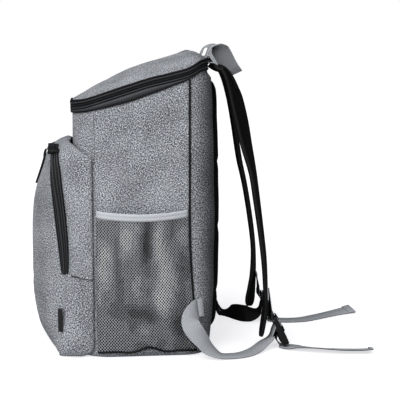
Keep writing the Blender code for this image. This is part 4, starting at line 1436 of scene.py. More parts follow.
@dataclass
class FrontPocket:
    """The rounded front pocket: gusset, bulging panel, zip band and label."""

    form: BagForm
    finishes: Wardrobe
    half: float = 0.122
    top: float = 0.278
    arch: float = 0.270
    seam_depth: float = 0.0185
    bulge: float = 0.0490
    wall: float = 0.002
    zip_width: float = 0.0165
    swell: float = 0.0045
    corner_ease: float = 0.0016
    steps: int = 5
    calming: int = 24
    profile: Table = Table(
        (
            (0.00, 1.20, 0.18),
            (0.05, 1.15, 0.46),
            (0.12, 1.03, 0.71),
            (0.22, 0.84, 0.88),
            (0.37, 0.70, 0.96),
            (0.48, 0.76, 0.94),
            (0.69, 1.05, 0.78),
            (0.79, 1.25, 0.61),
            (0.88, 1.43, 0.37),
            (0.94, 1.48, 0.24),
            (1.00, 1.38, 0.18),
        )
    )
    outline: tuple[tuple[float, float, float, float, float], ...] = (
        (0.000, 0.003, 0.000, 0.004, 0.00),
        (0.400, 0.003, 0.350, 0.004, 0.00),
        (0.800, 0.003, 0.680, 0.004, 0.00),
        (0.960, 0.003, 0.820, 0.004, 0.00),
        (1.070, 0.010, 0.940, 0.006, 0.00),
        (1.090, 0.060, 1.000, 0.050, 0.00),
        (1.040, 0.220, 1.000, 0.210, 0.00),
        (1.000, 0.394, 1.000, 0.385, 0.00),
        (1.000, 0.402, 1.000, 0.394, 0.55),
        (1.000, 0.480, 1.000, 0.470, 0.85),
        (1.000, 0.600, 1.000, 0.590, 1.08),
        (1.000, 0.730, 1.000, 0.720, 1.22),
        (1.000, 0.850, 1.000, 0.850, 1.35),
        (0.985, 0.915, 1.000, 0.993, 1.30),
        (0.950, 0.955, 0.970, 1.012, 1.10),
        (0.880, 0.985, 0.900, 1.039, 0.95),
        (0.780, 0.998, 0.780, 1.062, 0.85),
        (0.540, 1.000, 0.530, 1.068, 0.80),
        (0.270, 1.000, 0.270, 1.066, 0.80),
        (0.000, 1.000, 0.000, 1.065, 0.80),
    )
    zip_row: int = 8
    roll_row: int = 7
    label_size: tuple[float, float, float, float] = (0.035, 0.032, 0.0065, 0.0014)
    ridge_height: float = 0.0014
    band_thick: float = 0.0016
    roll_shape: tuple[tuple[float, float, float], ...] = (
        (-0.0062, -0.0052, 0.0020),
        (-0.0050, -0.0030, 0.0075),
        (0.0000, -0.0012, 0.0090),
        (0.0055, -0.0018, 0.0085),
        (0.0095, -0.0040, 0.0065),
        (0.0105, -0.0060, 0.0020),
    )

    def half_at(self, z: float) -> float:
        """Measure the zip line's half width.

        Args:
            z: The height.

        Returns:
            The half width there.
        """
        table = [(row[1], row[0]) for row in self.outline[3:]]
        share = z / self.top
        for low, high in zip(table, table[1:]):
            if share <= high[0]:
                part = (share - low[0]) / max(high[0] - low[0], 1e-6)
                return self.half * max(0.35, low[1] + (high[1] - low[1]) * max(0.0, part))
        return self.half * 0.35

    def panel_y(self, x: float, z: float) -> float:
        """Find the bulging panel's face.

        Args:
            x: The place's X.
            z: The place's height.

        Returns:
            The face's Y.
        """
        share = z / self.top
        seam = -self.form.front - self.seam_depth * self.profile.at(share, 1)
        across = min(1.0, abs(x) / self.half_at(z))
        return seam - self.bulge * self.profile.at(share, 2) * (1 - across**2.4)

    def body_point(self, share: float, z: float) -> tuple[Vector, Vector]:
        """Find a place on the body's front or its corner.

        Args:
            share: Share of the way from the middle to the front seam.
            z: The place's height.

        Returns:
            The place, and the outward direction there.
        """
        form = self.form
        half, front, _ = form.size(z / form.zip_z(-form.front))
        start = half - form.front_corner
        over = form.front_corner - front - form.front_seam
        x = min(share, 1.0) * (start + math.sqrt(form.front_corner**2 - over**2))
        if x <= start:
            return Vector((x, -front, z)), Vector((0, -1, 0))
        reach = math.sqrt(max(form.front_corner**2 - (x - start) ** 2, 0.0))
        return Vector((x, -front + form.front_corner - reach, z)), Vector((x - start, -reach, 0)).normalized()

    def station(self, row: Sequence[float]) -> dict[str, Vector]:
        """Work out one place round the outline, on the right side.

        Args:
            row: The zip line's shares, the seam's shares and the zip's width share.

        Returns:
            The zip line's corner, the inward direction, the seam, its outward direction, and the edges
            of the gusset and the panel.
        """
        zip_x, zip_height, seam_x, seam_height, zip_share = row
        x = zip_x * self.half
        z = zip_height * self.top
        corner = Vector((x, self.panel_y(x, z), z))
        centre = Vector((0, corner.y, self.top * 0.5))
        inward = centre - corner
        inward.x *= 1.6
        inward.normalize()
        side_way = Vector((-1, 0, 0))
        level_way = Vector((0, 0, 1 if zip_height < 0.5 else -1))
        if zip_x > 0.97 and 0.05 < zip_height < 0.9:
            inward = side_way
        elif zip_x < 0.85:
            inward = level_way
        seam, outward = self.body_point(seam_x, max(seam_height * self.arch, 0.001))
        seam = seam + outward * self.corner_ease * min(1.0, max(0.0, (seam_x - 0.4) / 0.2))
        step = max(self.zip_width * zip_share / 2, GAP)
        gusset_edge = corner + (seam - corner).normalized() * step
        panel_edge = corner + inward * step
        panel_edge.y = max(self.panel_y(panel_edge.x, panel_edge.z), corner.y - step)
        return {
            "corner": corner,
            "inward": inward,
            "seam": seam,
            "outward": outward,
            "gusset": gusset_edge,
            "panel": panel_edge,
        }

    def loop(self) -> tuple[list[dict[str, Vector]], int]:
        """The whole outline, bottom middle first, and the place where the zip starts."""
        last = len(self.outline) - 1
        half = [self.station(spline(self.outline, k / self.steps)) for k in range(last * self.steps + 1)]
        for _ in range(3):
            ways = [place["inward"] for place in half]
            for k in range(1, len(half) - 1):
                half[k]["inward"] = (ways[k - 1] + ways[k] * 2 + ways[k + 1]).normalized()
        mirror = []
        for place in half[1:-1]:
            mirror.append({key: Vector((-v.x, v.y, v.z)) for key, v in place.items()})
        return half + mirror[::-1], self.zip_row * self.steps

    def crease(self, place: Vector, edge: float) -> float:
        """Work out how far the panel or gusset swells, less near its edge.

        Args:
            place: A place on it.
            edge: The distance to its edge.

        Returns:
            The swell there in metres.
        """
        calm = min(1.0, edge / 0.02)
        low = math.exp(-((place.z - 0.05) / 0.035) ** 2)
        fold = 0.0013 * low * math.sin(place.z * 190 + place.x * 60 + 3 * swell_noise(place, 0.05, 8.0))
        soft = 0.0008 * swell_noise(place, 0.055, 6.0) + 0.0002 * swell_noise(place, 0.020, 7.0)
        return calm * (soft + fold)

    def build_gusset(self, loop: Sequence[dict[str, Vector]]) -> None:
        """Make the pocket's side wall.

        Args:
            loop: The places round the pocket's outline.
        """
        count = 12
        rows: list[Row] = [[] for _ in range(count + 1)]
        for place in loop:
            seam = place["seam"] + place["outward"] * (GAP + self.wall)
            edge = place["gusset"]
            for k in range(count + 1):
                t = k / count
                point = seam.lerp(edge, t)
                hump = math.sin(math.pi * t) ** 0.8
                puff = -place["inward"] * self.swell * hump
                if place["inward"].z > 0.3:
                    puff = -place["inward"] * min(self.swell * hump, max(0.0, point.z - 0.0004))
                point = point + puff
                creased = 0.0 if place["inward"].z > 0.3 else 0.9
                point -= place["inward"] * self.crease(point, 0.03 * min(t, 1 - t) * 2) * creased
                point.z = max(point.z, 0.0003)
                rows[k].append(point)
        self.build_cross_seam([row[self.zip_row * self.steps] for row in rows])
        inside = Vector((0, -0.09, 0.14))
        cloth = [self.finishes.cloth]
        gusset = skin("pocket_side_cloth", rows, cloth, closed=True, inside=inside, uv_origin=(0.3, 0.1))
        thicken(gusset, self.wall)
        seat(gusset, Slot.CLOTH, "pocket_gusset")

    def build_cross_seam(self, path: Sequence[Vector]) -> None:
        """Make the seams that cross the pocket's sides below the zip.

        Args:
            path: Places across the right side, from the body to the zip.
        """
        for side in Side:
            stations: list[Station] = []
            for place in path[1:]:
                at = Vector((side.value * (place.x + 0.0003), place.y, place.z))
                stations.append((at, UP, 0.0015, 0.0012))
            # A real seam in the near-black copy of the cloth: painted shade along its fold.
            seam = ribbon("pocket_cross_seam_" + side.word, stations, 2, self.finishes.shaded_cloth)
            seat(seam, Slot.CLOTH)

    def calmed(self, corners: Sequence[Vector]) -> list[Vector]:
        """Spread the places of a closed outline more evenly, so that no two of them crowd.

        Args:
            corners: The places.

        Returns:
            The calmed places.
        """
        made = [corner.copy() for corner in corners]
        for _ in range(self.calming):
            after = [*made[1:], made[0]]
            made = [(made[k - 1] + made[k] * 2 + after[k]) / 4 for k in range(len(made))]
        return made

    def build_panel(self, loop: Sequence[dict[str, Vector]]) -> None:
        """Make the bulging front.

        Args:
            loop: The places round the pocket's outline.
        """
        centre_z = self.top * 0.47
        centre = Vector((0.0, 0.0, centre_z))
        inner = 0.80
        calm = self.calmed([place["corner"] for place in loop])
        rows: list[Row] = []
        for t in (0.0, 0.04, 0.10, 0.18, 0.28, 0.40, 0.54, 0.68, 0.84, 1.0):
            ring = []
            for place, corner in zip(loop, calm):
                edge = place["panel"]
                held = edge.lerp(centre + (corner - centre) * inner, t)
                y = self.panel_y(held.x, held.z)
                point = Vector((held.x, y + (edge.y - y) * max(0.0, 1 - t / 0.3), held.z))
                point.y -= self.crease(point, t * 0.024)
                ring.append(point)
            rows.append(ring)
        for scale in (0.72, 0.64, 0.56, 0.48, 0.40, 0.32, 0.24, 0.16, 0.08, 0.03):
            ring = []
            for corner in calm:
                held = centre + (corner - centre) * scale
                point = Vector((held.x, self.panel_y(held.x, held.z), held.z))
                point.y -= self.crease(point, 0.03)
                ring.append(point)
            rows.append(ring)
        inside = Vector((0, -0.05, 0.14))
        cloth = [self.finishes.cloth]
        panel = skin("pocket_front_cloth", rows, cloth, closed=True, inside=inside, uv_origin=(0.7, 0.2))
        fill_hole(panel, lambda at: abs(at.x) < 0.01 and abs(at.z - centre_z) < 0.02)
        self.map_front(panel)
        thicken(panel, self.wall)
        seat(panel, Slot.CLOTH, "pocket_panel")

    def map_front(self, panel: Piece) -> None:
        """Lay the weave straight over the panel, as it was cut.

        Args:
            panel: The panel.
        """
        layer = panel.data.uv_layers[UV_NAME].data
        for polygon in panel.data.polygons:
            for index in polygon.loop_indices:
                place = panel.data.vertices[panel.data.loops[index].vertex_index].co
                layer[index].uv = (place.x * 1.05 + 0.9, place.z * 1.03)

    def build_zip(self, loop: Sequence[dict[str, Vector]], start: int) -> None:
        """Make the zip band, with its ridges and coil.

        Args:
            loop: The places round the pocket's outline.
            start: The place where the zip starts.
        """
        strip = loop[start : len(loop) - start + 1]
        rows: list[Row] = []
        line: list[Vector] = []
        out: list[Vector] = []
        shares = (
            *((0.00, 0.0), (0.05, 0.9), (0.12, 1.0), (0.17, 0.1), (0.21, 0.1), (0.25, 0.9), (0.31, 0.9)),
            *((0.35, 0.1), (0.39, 0.2), (0.43, 1.1), (0.50, 1.5), (0.57, 1.1), (0.61, 0.2), (0.65, 0.1)),
            *((0.69, 0.9), (0.75, 0.9), (0.79, 0.1), (0.83, 0.1), (0.88, 1.0), (0.95, 0.9), (1.00, 0.0)),
        )
        for i, place in enumerate(strip):
            low = place["gusset"] + (place["corner"] - place["gusset"]).normalized() * GAP
            high = place["panel"] + (place["corner"] - place["panel"]).normalized() * GAP
            proud = (-place["inward"] + Vector((0, -1, 0))).normalized()
            row = []
            for t, lift in shares:
                if t <= 0.5:
                    flat = low.lerp(place["corner"], t * 2)
                else:
                    flat = place["corner"].lerp(high, t * 2 - 1)
                row.append(flat + proud * (lift * self.ridge_height))
            rows.append(row)
            line.append(place["corner"] + proud * 0.0017)
            out.append(proud)
        band = skin("pocket_zip_band", rows, [self.finishes.tape], inside=Vector((0, -0.05, 0.14)))
        # Painted highlight: some ridge strips take the paler, glossier copy of the tape.
        band.data.materials.append(self.finishes.ridge_highlight)
        for polygon in band.data.polygons:
            if polygon.index % (len(shares) - 1) in (1, 5, 9, 10, 14, 18):
                polygon.material_index = 1
        thicken(band, self.band_thick)
        seat(band, Slot.TAPE, "pocket_zip")
        seat(stitches("pocket_zip_coil", line, out, self.finishes.highlit_coil, COIL_PITCH), Slot.TAPE)
        for side in Side:
            corner = loop[(self.zip_row + self.roll_row) * self.steps]["corner"]
            roll: list[Station] = []
            for dy, dz, wide in self.roll_shape:
                place = Vector((side.value * (corner.x + 0.001), corner.y + dy, corner.z + 0.004 + dz))
                roll.append((place, Vector((1, 0, 0)), wide, wide * 0.9))
            frames = frames_along(roll, 4)
            end = sweep("pocket_zip_roll_" + side.word, frames, round_section(12), [self.finishes.tape])
            seat(end, Slot.TAPE)

    def build_label(self) -> None:
        """Make the blank folded label."""
        foot, height, deep, thick = self.label_size
        half = self.half_at(foot)
        x = half + thick / 2 + GAP
        y = self.panel_y(half, foot) - 0.001
        across = Vector((0.45, 1.0, 0.0)).normalized()
        stations: list[Station] = []
        for k in range(7):
            place = Vector((x, y, foot + height * k / 6))
            stations.append((place, across, deep, thick * (1.0 if 0 < k < 6 else 0.8)))
        seat(ribbon("blank_label", stations, 2, self.finishes.satin), Slot.TAPE, "side_label")

    def make(self) -> None:
        """Build and dress everything on the pocket."""
        loop, start = self.loop()
        self.build_gusset(loop)
        self.build_panel(loop)
        self.build_zip(loop, start)
        self.build_label()


@dataclass
class NetPocket:
    """One net side pocket with its bound mouth."""

    form: BagForm
    finishes: Wardrobe
    side: Side
    thread: float = 0.0012
    shade_foot: float = 0.0095
    top: float = 0.190
    foot: float = 0.008
    swell: float = 0.015
    binding: float = 0.0095
    binding_thick: float = 0.0024
    cell_width: float = 0.0038
    cell_height: float = 0.0046
    belly: Table = Table(((0.00, 0.12), (0.08, 0.42), (0.35, 0.72), (0.70, 0.90), (1.00, 1.00)))
    folds: tuple[tuple[float, float, float, float, float, float], ...] = (
        (0.08, 0.66, 0.060, 0.180, 0.05, 0.75),
        (0.32, 0.86, 0.070, 0.120, 0.20, 0.80),
        (0.66, 0.88, 0.050, 0.100, 0.00, 0.55),
        (0.74, 0.60, 0.075, 0.150, -0.25, 0.85),
        (0.66, 0.38, 0.060, 0.080, -0.20, 0.95),
        (0.93, 0.86, 0.060, 0.060, 0.10, 0.45),
        (0.42, 0.52, 0.090, 0.080, 0.60, 0.30),
        (0.20, 0.14, 0.100, 0.060, -0.40, 0.25),
        (0.58, 0.18, 0.110, 0.040, 0.60, 0.35),
        (0.53, 0.86, 0.045, 0.160, 0.10, -0.75),
        (0.22, 0.62, 0.030, 0.240, -0.05, -0.50),
        (0.88, 0.50, 0.040, 0.220, 0.10, -0.45),
        (0.48, 0.30, 0.150, 0.050, -0.70, -0.45),
        (0.80, 0.20, 0.120, 0.060, -0.40, -0.35),
    )
    # Brightness of the net thread's copies, from painted shade to painted light.
    painted_light_tones: tuple[float, ...] = (0.14, 0.23, 0.36, 0.50, 0.66, 0.82, 0.95)

    def fold(self, u: float, v: float) -> float:
        """Work out how far a place stands up on a fold, or lies between two.

        Args:
            u: Share from the front seam to the back one.
            v: Share of the height.

        Returns:
            About -1 in a hollow to 1 on a fold.
        """
        made = 0.10 * math.sin(math.tau * (4.3 * u + 0.35 * math.sin(2.6 * v)))
        for middle_u, middle_v, wide, high, slant, rise in self.folds:
            over = (v - middle_v) / high
            beside = (u - middle_u - slant * (v - middle_v)) / wide
            made += rise * math.exp(-0.5 * (over * over + beside * beside))
        return made

    def place(self, u: float, v: float) -> Vector:
        """Find a place on the net.

        Args:
            u: Share from the front seam to the back one.
            v: Share of the height.

        Returns:
            The place.
        """
        s = self.side.value
        z = self.foot + (self.top - self.foot) * v
        z -= 0.0035 * math.sin(math.pi * u) * v
        near = self.form.front_seam + 0.003
        far = self.form.seam_y(z) - 0.0024
        y = near + (far - near) * u
        hold = max(0.0, math.sin(math.pi * u)) ** 0.6
        out = self.swell * self.belly.at(v) * hold
        out += 0.0042 * self.fold(u, v) * hold * min(1.0, (1.0 - v) / 0.10)
        x = self.form.side_x(y, z) + 0.0013 + max(0.0, out)
        return Vector((s * x, y, z))

    def build_net(self) -> None:
        """Make the net: a lattice of diamonds turned into thread, with painted light on its folds and painted
        shade in its hollows.
        """
        columns = round((self.form.back_seam - self.form.front_seam) / self.cell_width)
        rows = 2 * round((self.top - self.foot) / self.cell_height)
        mesh = bmesh.new()
        lattice: dict[tuple[int, int], bmesh.types.BMVert] = {}
        for r in range(rows + 1):
            for c in range(columns + 1):
                u = (c + 0.5 * (r % 2)) / columns
                if u <= 1.0001:
                    lattice[r, c] = mesh.verts.new(self.place(min(u, 1.0), r / rows))
        for r in range(rows - 1):
            odd = r % 2
            for c in range(columns + 1):
                corners = [(r, c), (r + 1, c + odd), (r + 2, c), (r + 1, c - 1 + odd)]
                if all(corner in lattice for corner in corners):
                    mesh.faces.new([lattice[corner] for corner in corners])
        loose = [v for v in mesh.verts if not v.link_faces]
        bmesh.ops.delete(mesh, geom=loose, context="VERTS")
        mesh.normal_update()
        places = {corner: key for key, corner in lattice.items()}
        # Painted light and shade: each diamond takes a paler thread on a fold and a darker one in a hollow,
        # with random patches.
        for face in mesh.faces:
            r, c = places[face.verts[0]]
            lit_tone = 0.44 + 0.5 * self.fold(c / columns, (r + 1) / rows)
            lit_tone += 0.10 * swell_noise(Vector((c / 4.0, r / 9.0, self.side.value)), 1.0, 3.0)
            face.material_index = max(0, min(len(self.painted_light_tones) - 1, int(lit_tone * len(self.painted_light_tones))))
        net = piece_from("net_" + self.side.word, mesh, self.finishes.lit_and_shaded_nets)
        thread = net.modifiers.new("thread", "WIREFRAME")
        thread.thickness = self.thread
        thread.use_even_offset = False
        thread.use_boundary = True
        apply_all(net)
        net.data.shade_smooth()
        seat(net, Slot.NET, "mesh_pocket_" + self.side.word)

    def build_binding(self) -> None:
        """Make the ribbed tape round the pocket's mouth."""
        steps = 60
        profile = (
            *((0.0, 0.0), (0.6, -0.0004), (1.0, 0.0012), (1.05, 0.0040), (0.8, 0.0046)),
            *((1.0, 0.0054), (1.0, 0.0082), (0.6, 0.0099), (0.0, 0.0095)),
        )
        rows = []
        for k in range(steps + 1):
            u = k / steps
            foot = self.place(u, 1.0)
            ring = []
            for out, up in profile:
                beside = self.side.value * (out * self.binding_thick - 0.0003)
                ring.append(foot + Vector((beside, 0, up + GAP)))
            rows.append(ring)
        tape = skin("net_binding_" + self.side.word, rows, [self.finishes.binding], closed=True, caps=True)
        seat(tape, Slot.WEBBING, "mesh_binding_" + self.side.word)

    def build_net_shade(self) -> None:
        """Make a dark copy of the body cloth under the net: painted shade inside the pocket."""
        form = self.form
        body = MainBody(form, self.finishes)
        low, high = self.shade_foot, self.top - 0.004
        rows = []
        for r in range(41):
            z = low + (high - low) * r / 40
            row = []
            for c in range(31):
                near = form.front_seam + 0.003
                far = form.seam_y(z) - 0.003
                y = near + (far - near) * c / 30
                place, way = form.seam_place(self.side.value, y, z, 0.0006)
                row.append(place + way * max(body.crease(place), -0.0002))
            rows.append(row)
        # Painted shade: the sheet takes the near-black copy of the heather cloth.
        ground = skin("net_shade_sheet_" + self.side.word, rows, [self.finishes.shaded_cloth], inside=MIDDLE)
        thicken(ground, 0.0003)
        seat(ground, Slot.CLOTH)

    def build_foot(self) -> None:
        """Make the dark bound seam along the foot of the net."""
        stations: list[Station] = []
        for k in range(33):
            u = 0.005 + 0.99 * k / 32
            bump = 0.0065 * math.exp(-(((u - 0.52) / 0.10) ** 2))
            rise = bump + 0.0012 * math.sin(math.tau * 1.5 * u) ** 2
            place = self.place(u, rise / (self.top - self.foot))
            place.x += self.side.value * 0.0012
            stations.append((place, UP, 0.0028, 0.0016))
        seat(ribbon("net_foot_" + self.side.word, stations, 2, self.finishes.tape), Slot.TAPE)

    def make(self) -> None:
        """Build and dress the pocket."""
        self.build_net()
        self.build_foot()
        self.build_binding()
        self.build_net_shade()


# Straps and webbing


WebRow = tuple[str, float, float, float, Triple]


@dataclass(frozen=True)
class StrapTables:
    """The lie of one strap, its lower webbing and its free end.

    A strap's columns are X share, reach share, height share, lean in degrees, width share and thickness
    share. A webbing's are the frame that its place is told in, three lengths in millimetres (a tail's
    second is a share of its length), and the direction of its width.
    """

    strap: tuple[tuple[float, ...], ...]
    from_seam: tuple[WebRow, ...]
    free_end: tuple[WebRow, ...]


RIGHT_TABLES = StrapTables(
    strap=(
        (1.00, 0.104, 1.000, 0, 0.90, 0.75),
        (1.00, 0.204, 0.990, 2, 0.96, 1.00),
        (1.00, 0.285, 0.985, 6, 1.00, 1.00),
        (1.02, 0.375, 0.962, 12, 1.00, 1.00),
        (1.04, 0.469, 0.915, 18, 1.00, 1.00),
        (1.05, 0.527, 0.875, 21, 1.00, 1.00),
        (1.08, 0.607, 0.800, 21, 1.00, 1.00),
        (1.11, 0.682, 0.720, 18, 1.00, 1.00),
        (1.15, 0.781, 0.625, 12, 1.00, 1.00),
        (1.19, 0.843, 0.530, 11, 0.98, 0.96),
        (1.24, 0.917, 0.405, 10, 0.94, 0.90),
        (1.28, 0.964, 0.308, 10, 0.88, 0.84),
        (1.29, 0.988, 0.210, 9, 0.80, 0.78),
        (1.30, 0.985, 0.140, 6, 0.72, 0.74),
        (1.30, 0.955, 0.088, 6, 0.66, 0.74),
        (1.30, 0.929, 0.052, 6, 0.52, 0.70),
        (1.30, 0.915, 0.036, 6, 0.24, 0.60),
    ),
    from_seam=(
        ("seam", 0.9, 0.0, 0.0, (0.00, -0.09, 1.00)),
        ("seam", 8.0, -2.8, -0.8, (0.06, -0.32, 0.94)),
        ("seam", 13.5, -8.0, -5.3, (0.20, -0.72, 0.66)),
        ("seam", 17.0, -10.7, -10.8, (0.20, -0.94, 0.28)),
        ("seam", 19.2, -10.8, -16.4, (0.15, -0.98, -0.08)),
        ("seam", 22.0, -8.8, -22.2, (0.18, -0.90, -0.38)),
        ("seam", 23.7, -4.2, -28.9, (0.30, -0.82, -0.49)),
        ("seam", 24.0, 3.7, -39.3, (0.58, -0.72, -0.39)),
        ("seam", 23.5, 9.9, -47.6, (0.74, -0.62, -0.28)),
        ("seam", 22.0, 19.0, -55.5, (0.90, -0.41, -0.16)),
        ("floor", 20.5, 31.5, 3.6, (0.99, -0.12, 0.00)),
        ("floor", 18.0, 44.0, 2.0, (1.00, 0.00, 0.00)),
        ("floor", 13.5, 58.0, 1.7, (1.00, 0.10, 0.00)),
        ("floor", 5.0, 70.0, 1.9, (0.97, 0.25, 0.00)),
        ("floor", -6.5, 81.5, 3.4, (0.95, 0.30, 0.00)),
        ("floor", -19.0, 93.0, 7.6, (0.97, 0.20, 0.00)),
        ("lock", 0.5, 27.0, -15.5, (1.00, 0.00, 0.00)),
        ("lock", 0.0, 20.5, -9.0, (1.00, 0.00, 0.00)),
    ),
    free_end=(
        ("tail", 0.5, 0.075, 3.6, (1.00, 0.00, 0.00)),
        ("tail", 4.0, 0.120, 1.8, (1.00, 0.00, 0.02)),
        ("tail", 13.0, 0.185, 2.2, (0.99, -0.10, 0.06)),
        ("tail", 21.0, 0.265, 3.8, (0.97, -0.05, 0.18)),
        ("tail", 29.0, 0.390, 4.6, (0.97, 0.00, 0.24)),
        ("tail", 35.0, 0.530, 4.4, (0.97, 0.00, 0.23)),
        ("tail", 40.0, 0.690, 4.0, (0.98, 0.00, 0.20)),
        ("tail", 43.0, 0.850, 4.0, (0.98, 0.00, 0.20)),
        ("tail", 44.5, 0.950, 4.6, (0.97, 0.00, 0.22)),
        ("tail", 45.0, 1.000, 5.2, (0.97, 0.00, 0.24)),
    ),
)
LEFT_TABLES = StrapTables(
    strap=(
        (1.00, 0.095, 1.010, 0, 0.90, 0.75),
        (1.00, 0.200, 1.014, 2, 0.96, 1.00),
        (1.00, 0.335, 1.008, 3, 1.00, 1.00),
        (1.00, 0.460, 0.985, 4, 1.00, 1.00),
        (1.00, 0.560, 0.940, 5, 1.00, 1.00),
        (1.00, 0.655, 0.860, 6, 1.00, 1.00),
        (0.98, 0.736, 0.760, 6, 1.00, 1.00),
        (0.95, 0.827, 0.630, 6, 1.00, 1.00),
        (0.90, 0.924, 0.530, 7, 0.98, 0.96),
        (0.83, 1.013, 0.405, 8, 0.94, 0.92),
        (0.76, 1.068, 0.290, 9, 0.88, 0.86),
        (0.70, 1.062, 0.190, 14, 0.80, 0.80),
        (0.65, 1.030, 0.130, 20, 0.74, 0.76),
        (0.62, 1.003, 0.092, 25, 0.68, 0.74),
        (0.60, 0.988, 0.068, 27, 0.52, 0.70),
        (0.59, 0.982, 0.056, 27, 0.24, 0.60),
    ),
    from_seam=(
        ("seam", -0.9, 0.0, 0.0, (0.00, 0.09, -1.00)),
        ("seam", -6.5, 2.6, 0.0, (0.00, 0.09, -1.00)),
        ("seam", -12.0, 9.0, -3.5, (0.05, 0.05, -1.00)),
        ("seam", -11.0, 22.0, -14.0, (0.25, 0.00, -0.95)),
        ("seam", 1.0, 38.0, -32.0, (0.70, -0.03, -0.50)),
        ("floor", 20.0, 52.5, 19.5, (0.98, -0.05, 0.05)),
        ("floor", 33.5, 58.1, 11.6, (0.98, -0.06, 0.14)),
        ("floor", 47.0, 62.9, 6.2, (0.98, -0.06, 0.05)),
        ("floor", 69.0, 71.2, 7.2, (0.88, 0.00, -0.42)),
        ("floor", 90.0, 80.6, 11.0, (0.60, 0.05, -0.80)),
        ("floor", 104.0, 90.5, 12.3, (0.48, 0.05, -0.87)),
        ("floor", 105.0, 99.0, 11.8, (0.66, 0.10, -0.74)),
        ("lock", 0.0, 25.5, -13.0, (0.98, 0.00, -0.15)),
    ),
    free_end=(
        ("tail", 0.0, 0.080, 3.4, (1.00, 0.00, 0.00)),
        ("tail", 1.5, 0.125, 1.8, (1.00, 0.00, 0.00)),
        ("tail", 4.5, 0.200, 1.4, (1.00, -0.10, 0.00)),
        ("tail", 7.0, 0.290, 1.4, (1.00, -0.05, 0.00)),
        ("tail", 7.5, 0.390, 1.4, (1.00, 0.08, 0.00)),
        ("tail", 4.5, 0.510, 1.4, (0.97, 0.20, 0.00)),
        ("tail", -6.0, 0.650, 1.4, (0.95, 0.30, 0.00)),
        ("tail", -17.5, 0.790, 1.5, (0.95, 0.30, 0.00)),
        ("tail", -28.0, 0.930, 2.0, (0.95, 0.30, -0.04)),
        ("tail", -34.0, 1.040, 3.0, (0.94, 0.28, -0.10)),
        ("tail", -38.5, 1.170, 5.0, (0.93, 0.28, -0.20)),
    ),
)
OVER_BAR: tuple[WebRow, ...] = (
    ("lock", 0.0, 15.9, -4.4, (1.00, 0.00, 0.00)),
    ("lock", 0.0, 15.2, -1.8, (1.00, 0.00, 0.00)),
    ("lock", 0.0, 15.2, 1.8, (1.00, 0.00, 0.00)),
    ("lock", 0.0, 15.8, 4.5, (1.00, 0.00, 0.00)),
    ("lock", 0.0, 17.5, 5.7, (1.00, 0.00, 0.00)),
    ("lock", 0.0, 19.8, 5.5, (1.00, 0.00, 0.00)),
)
UNDER_BAR: tuple[WebRow, ...] = (
    ("lock", 0.0, 20.1, 5.5, (1.00, 0.00, 0.00)),
    ("lock", 0.0, 22.3, 5.7, (1.00, 0.00, 0.00)),
    ("lock", 0.0, 23.8, 4.5, (1.00, 0.00, 0.00)),
    ("lock", 0.0, 24.2, 1.0, (1.00, 0.00, 0.00)),
    ("lock", 0.0, 24.4, -3.0, (1.00, 0.00, 0.00)),
    ("lock", 0.0, 26.4, -6.8, (1.00, 0.00, 0.00)),
    ("lock", 0.0, 31.0, -9.2, (1.00, 0.00, 0.00)),
)
ROUND_TOP_BAR: tuple[WebRow, ...] = (
    ("lock", 0.0, -6.5, -0.8, (1.00, 0.00, 0.00)),
    ("lock", 0.0, -3.0, -3.0, (1.00, 0.00, 0.00)),
    ("lock", 0.0, 1.5, -4.4, (1.00, 0.00, 0.00)),
    ("lock", 0.0, 4.2, -4.2, (1.00, 0.00, 0.00)),
    ("lock", 0.0, 5.5, -3.0, (1.00, 0.00, 0.00)),
    ("lock", 0.0, 5.7, 0.0, (1.00, 0.00, 0.00)),
    ("lock", 0.0, 5.5, 3.0, (1.00, 0.00, 0.00)),
    ("lock", 0.0, 4.2, 4.2, (1.00, 0.00, 0.00)),
    ("lock", 0.0, 1.2, 4.0, (1.00, 0.00, 0.00)),
)


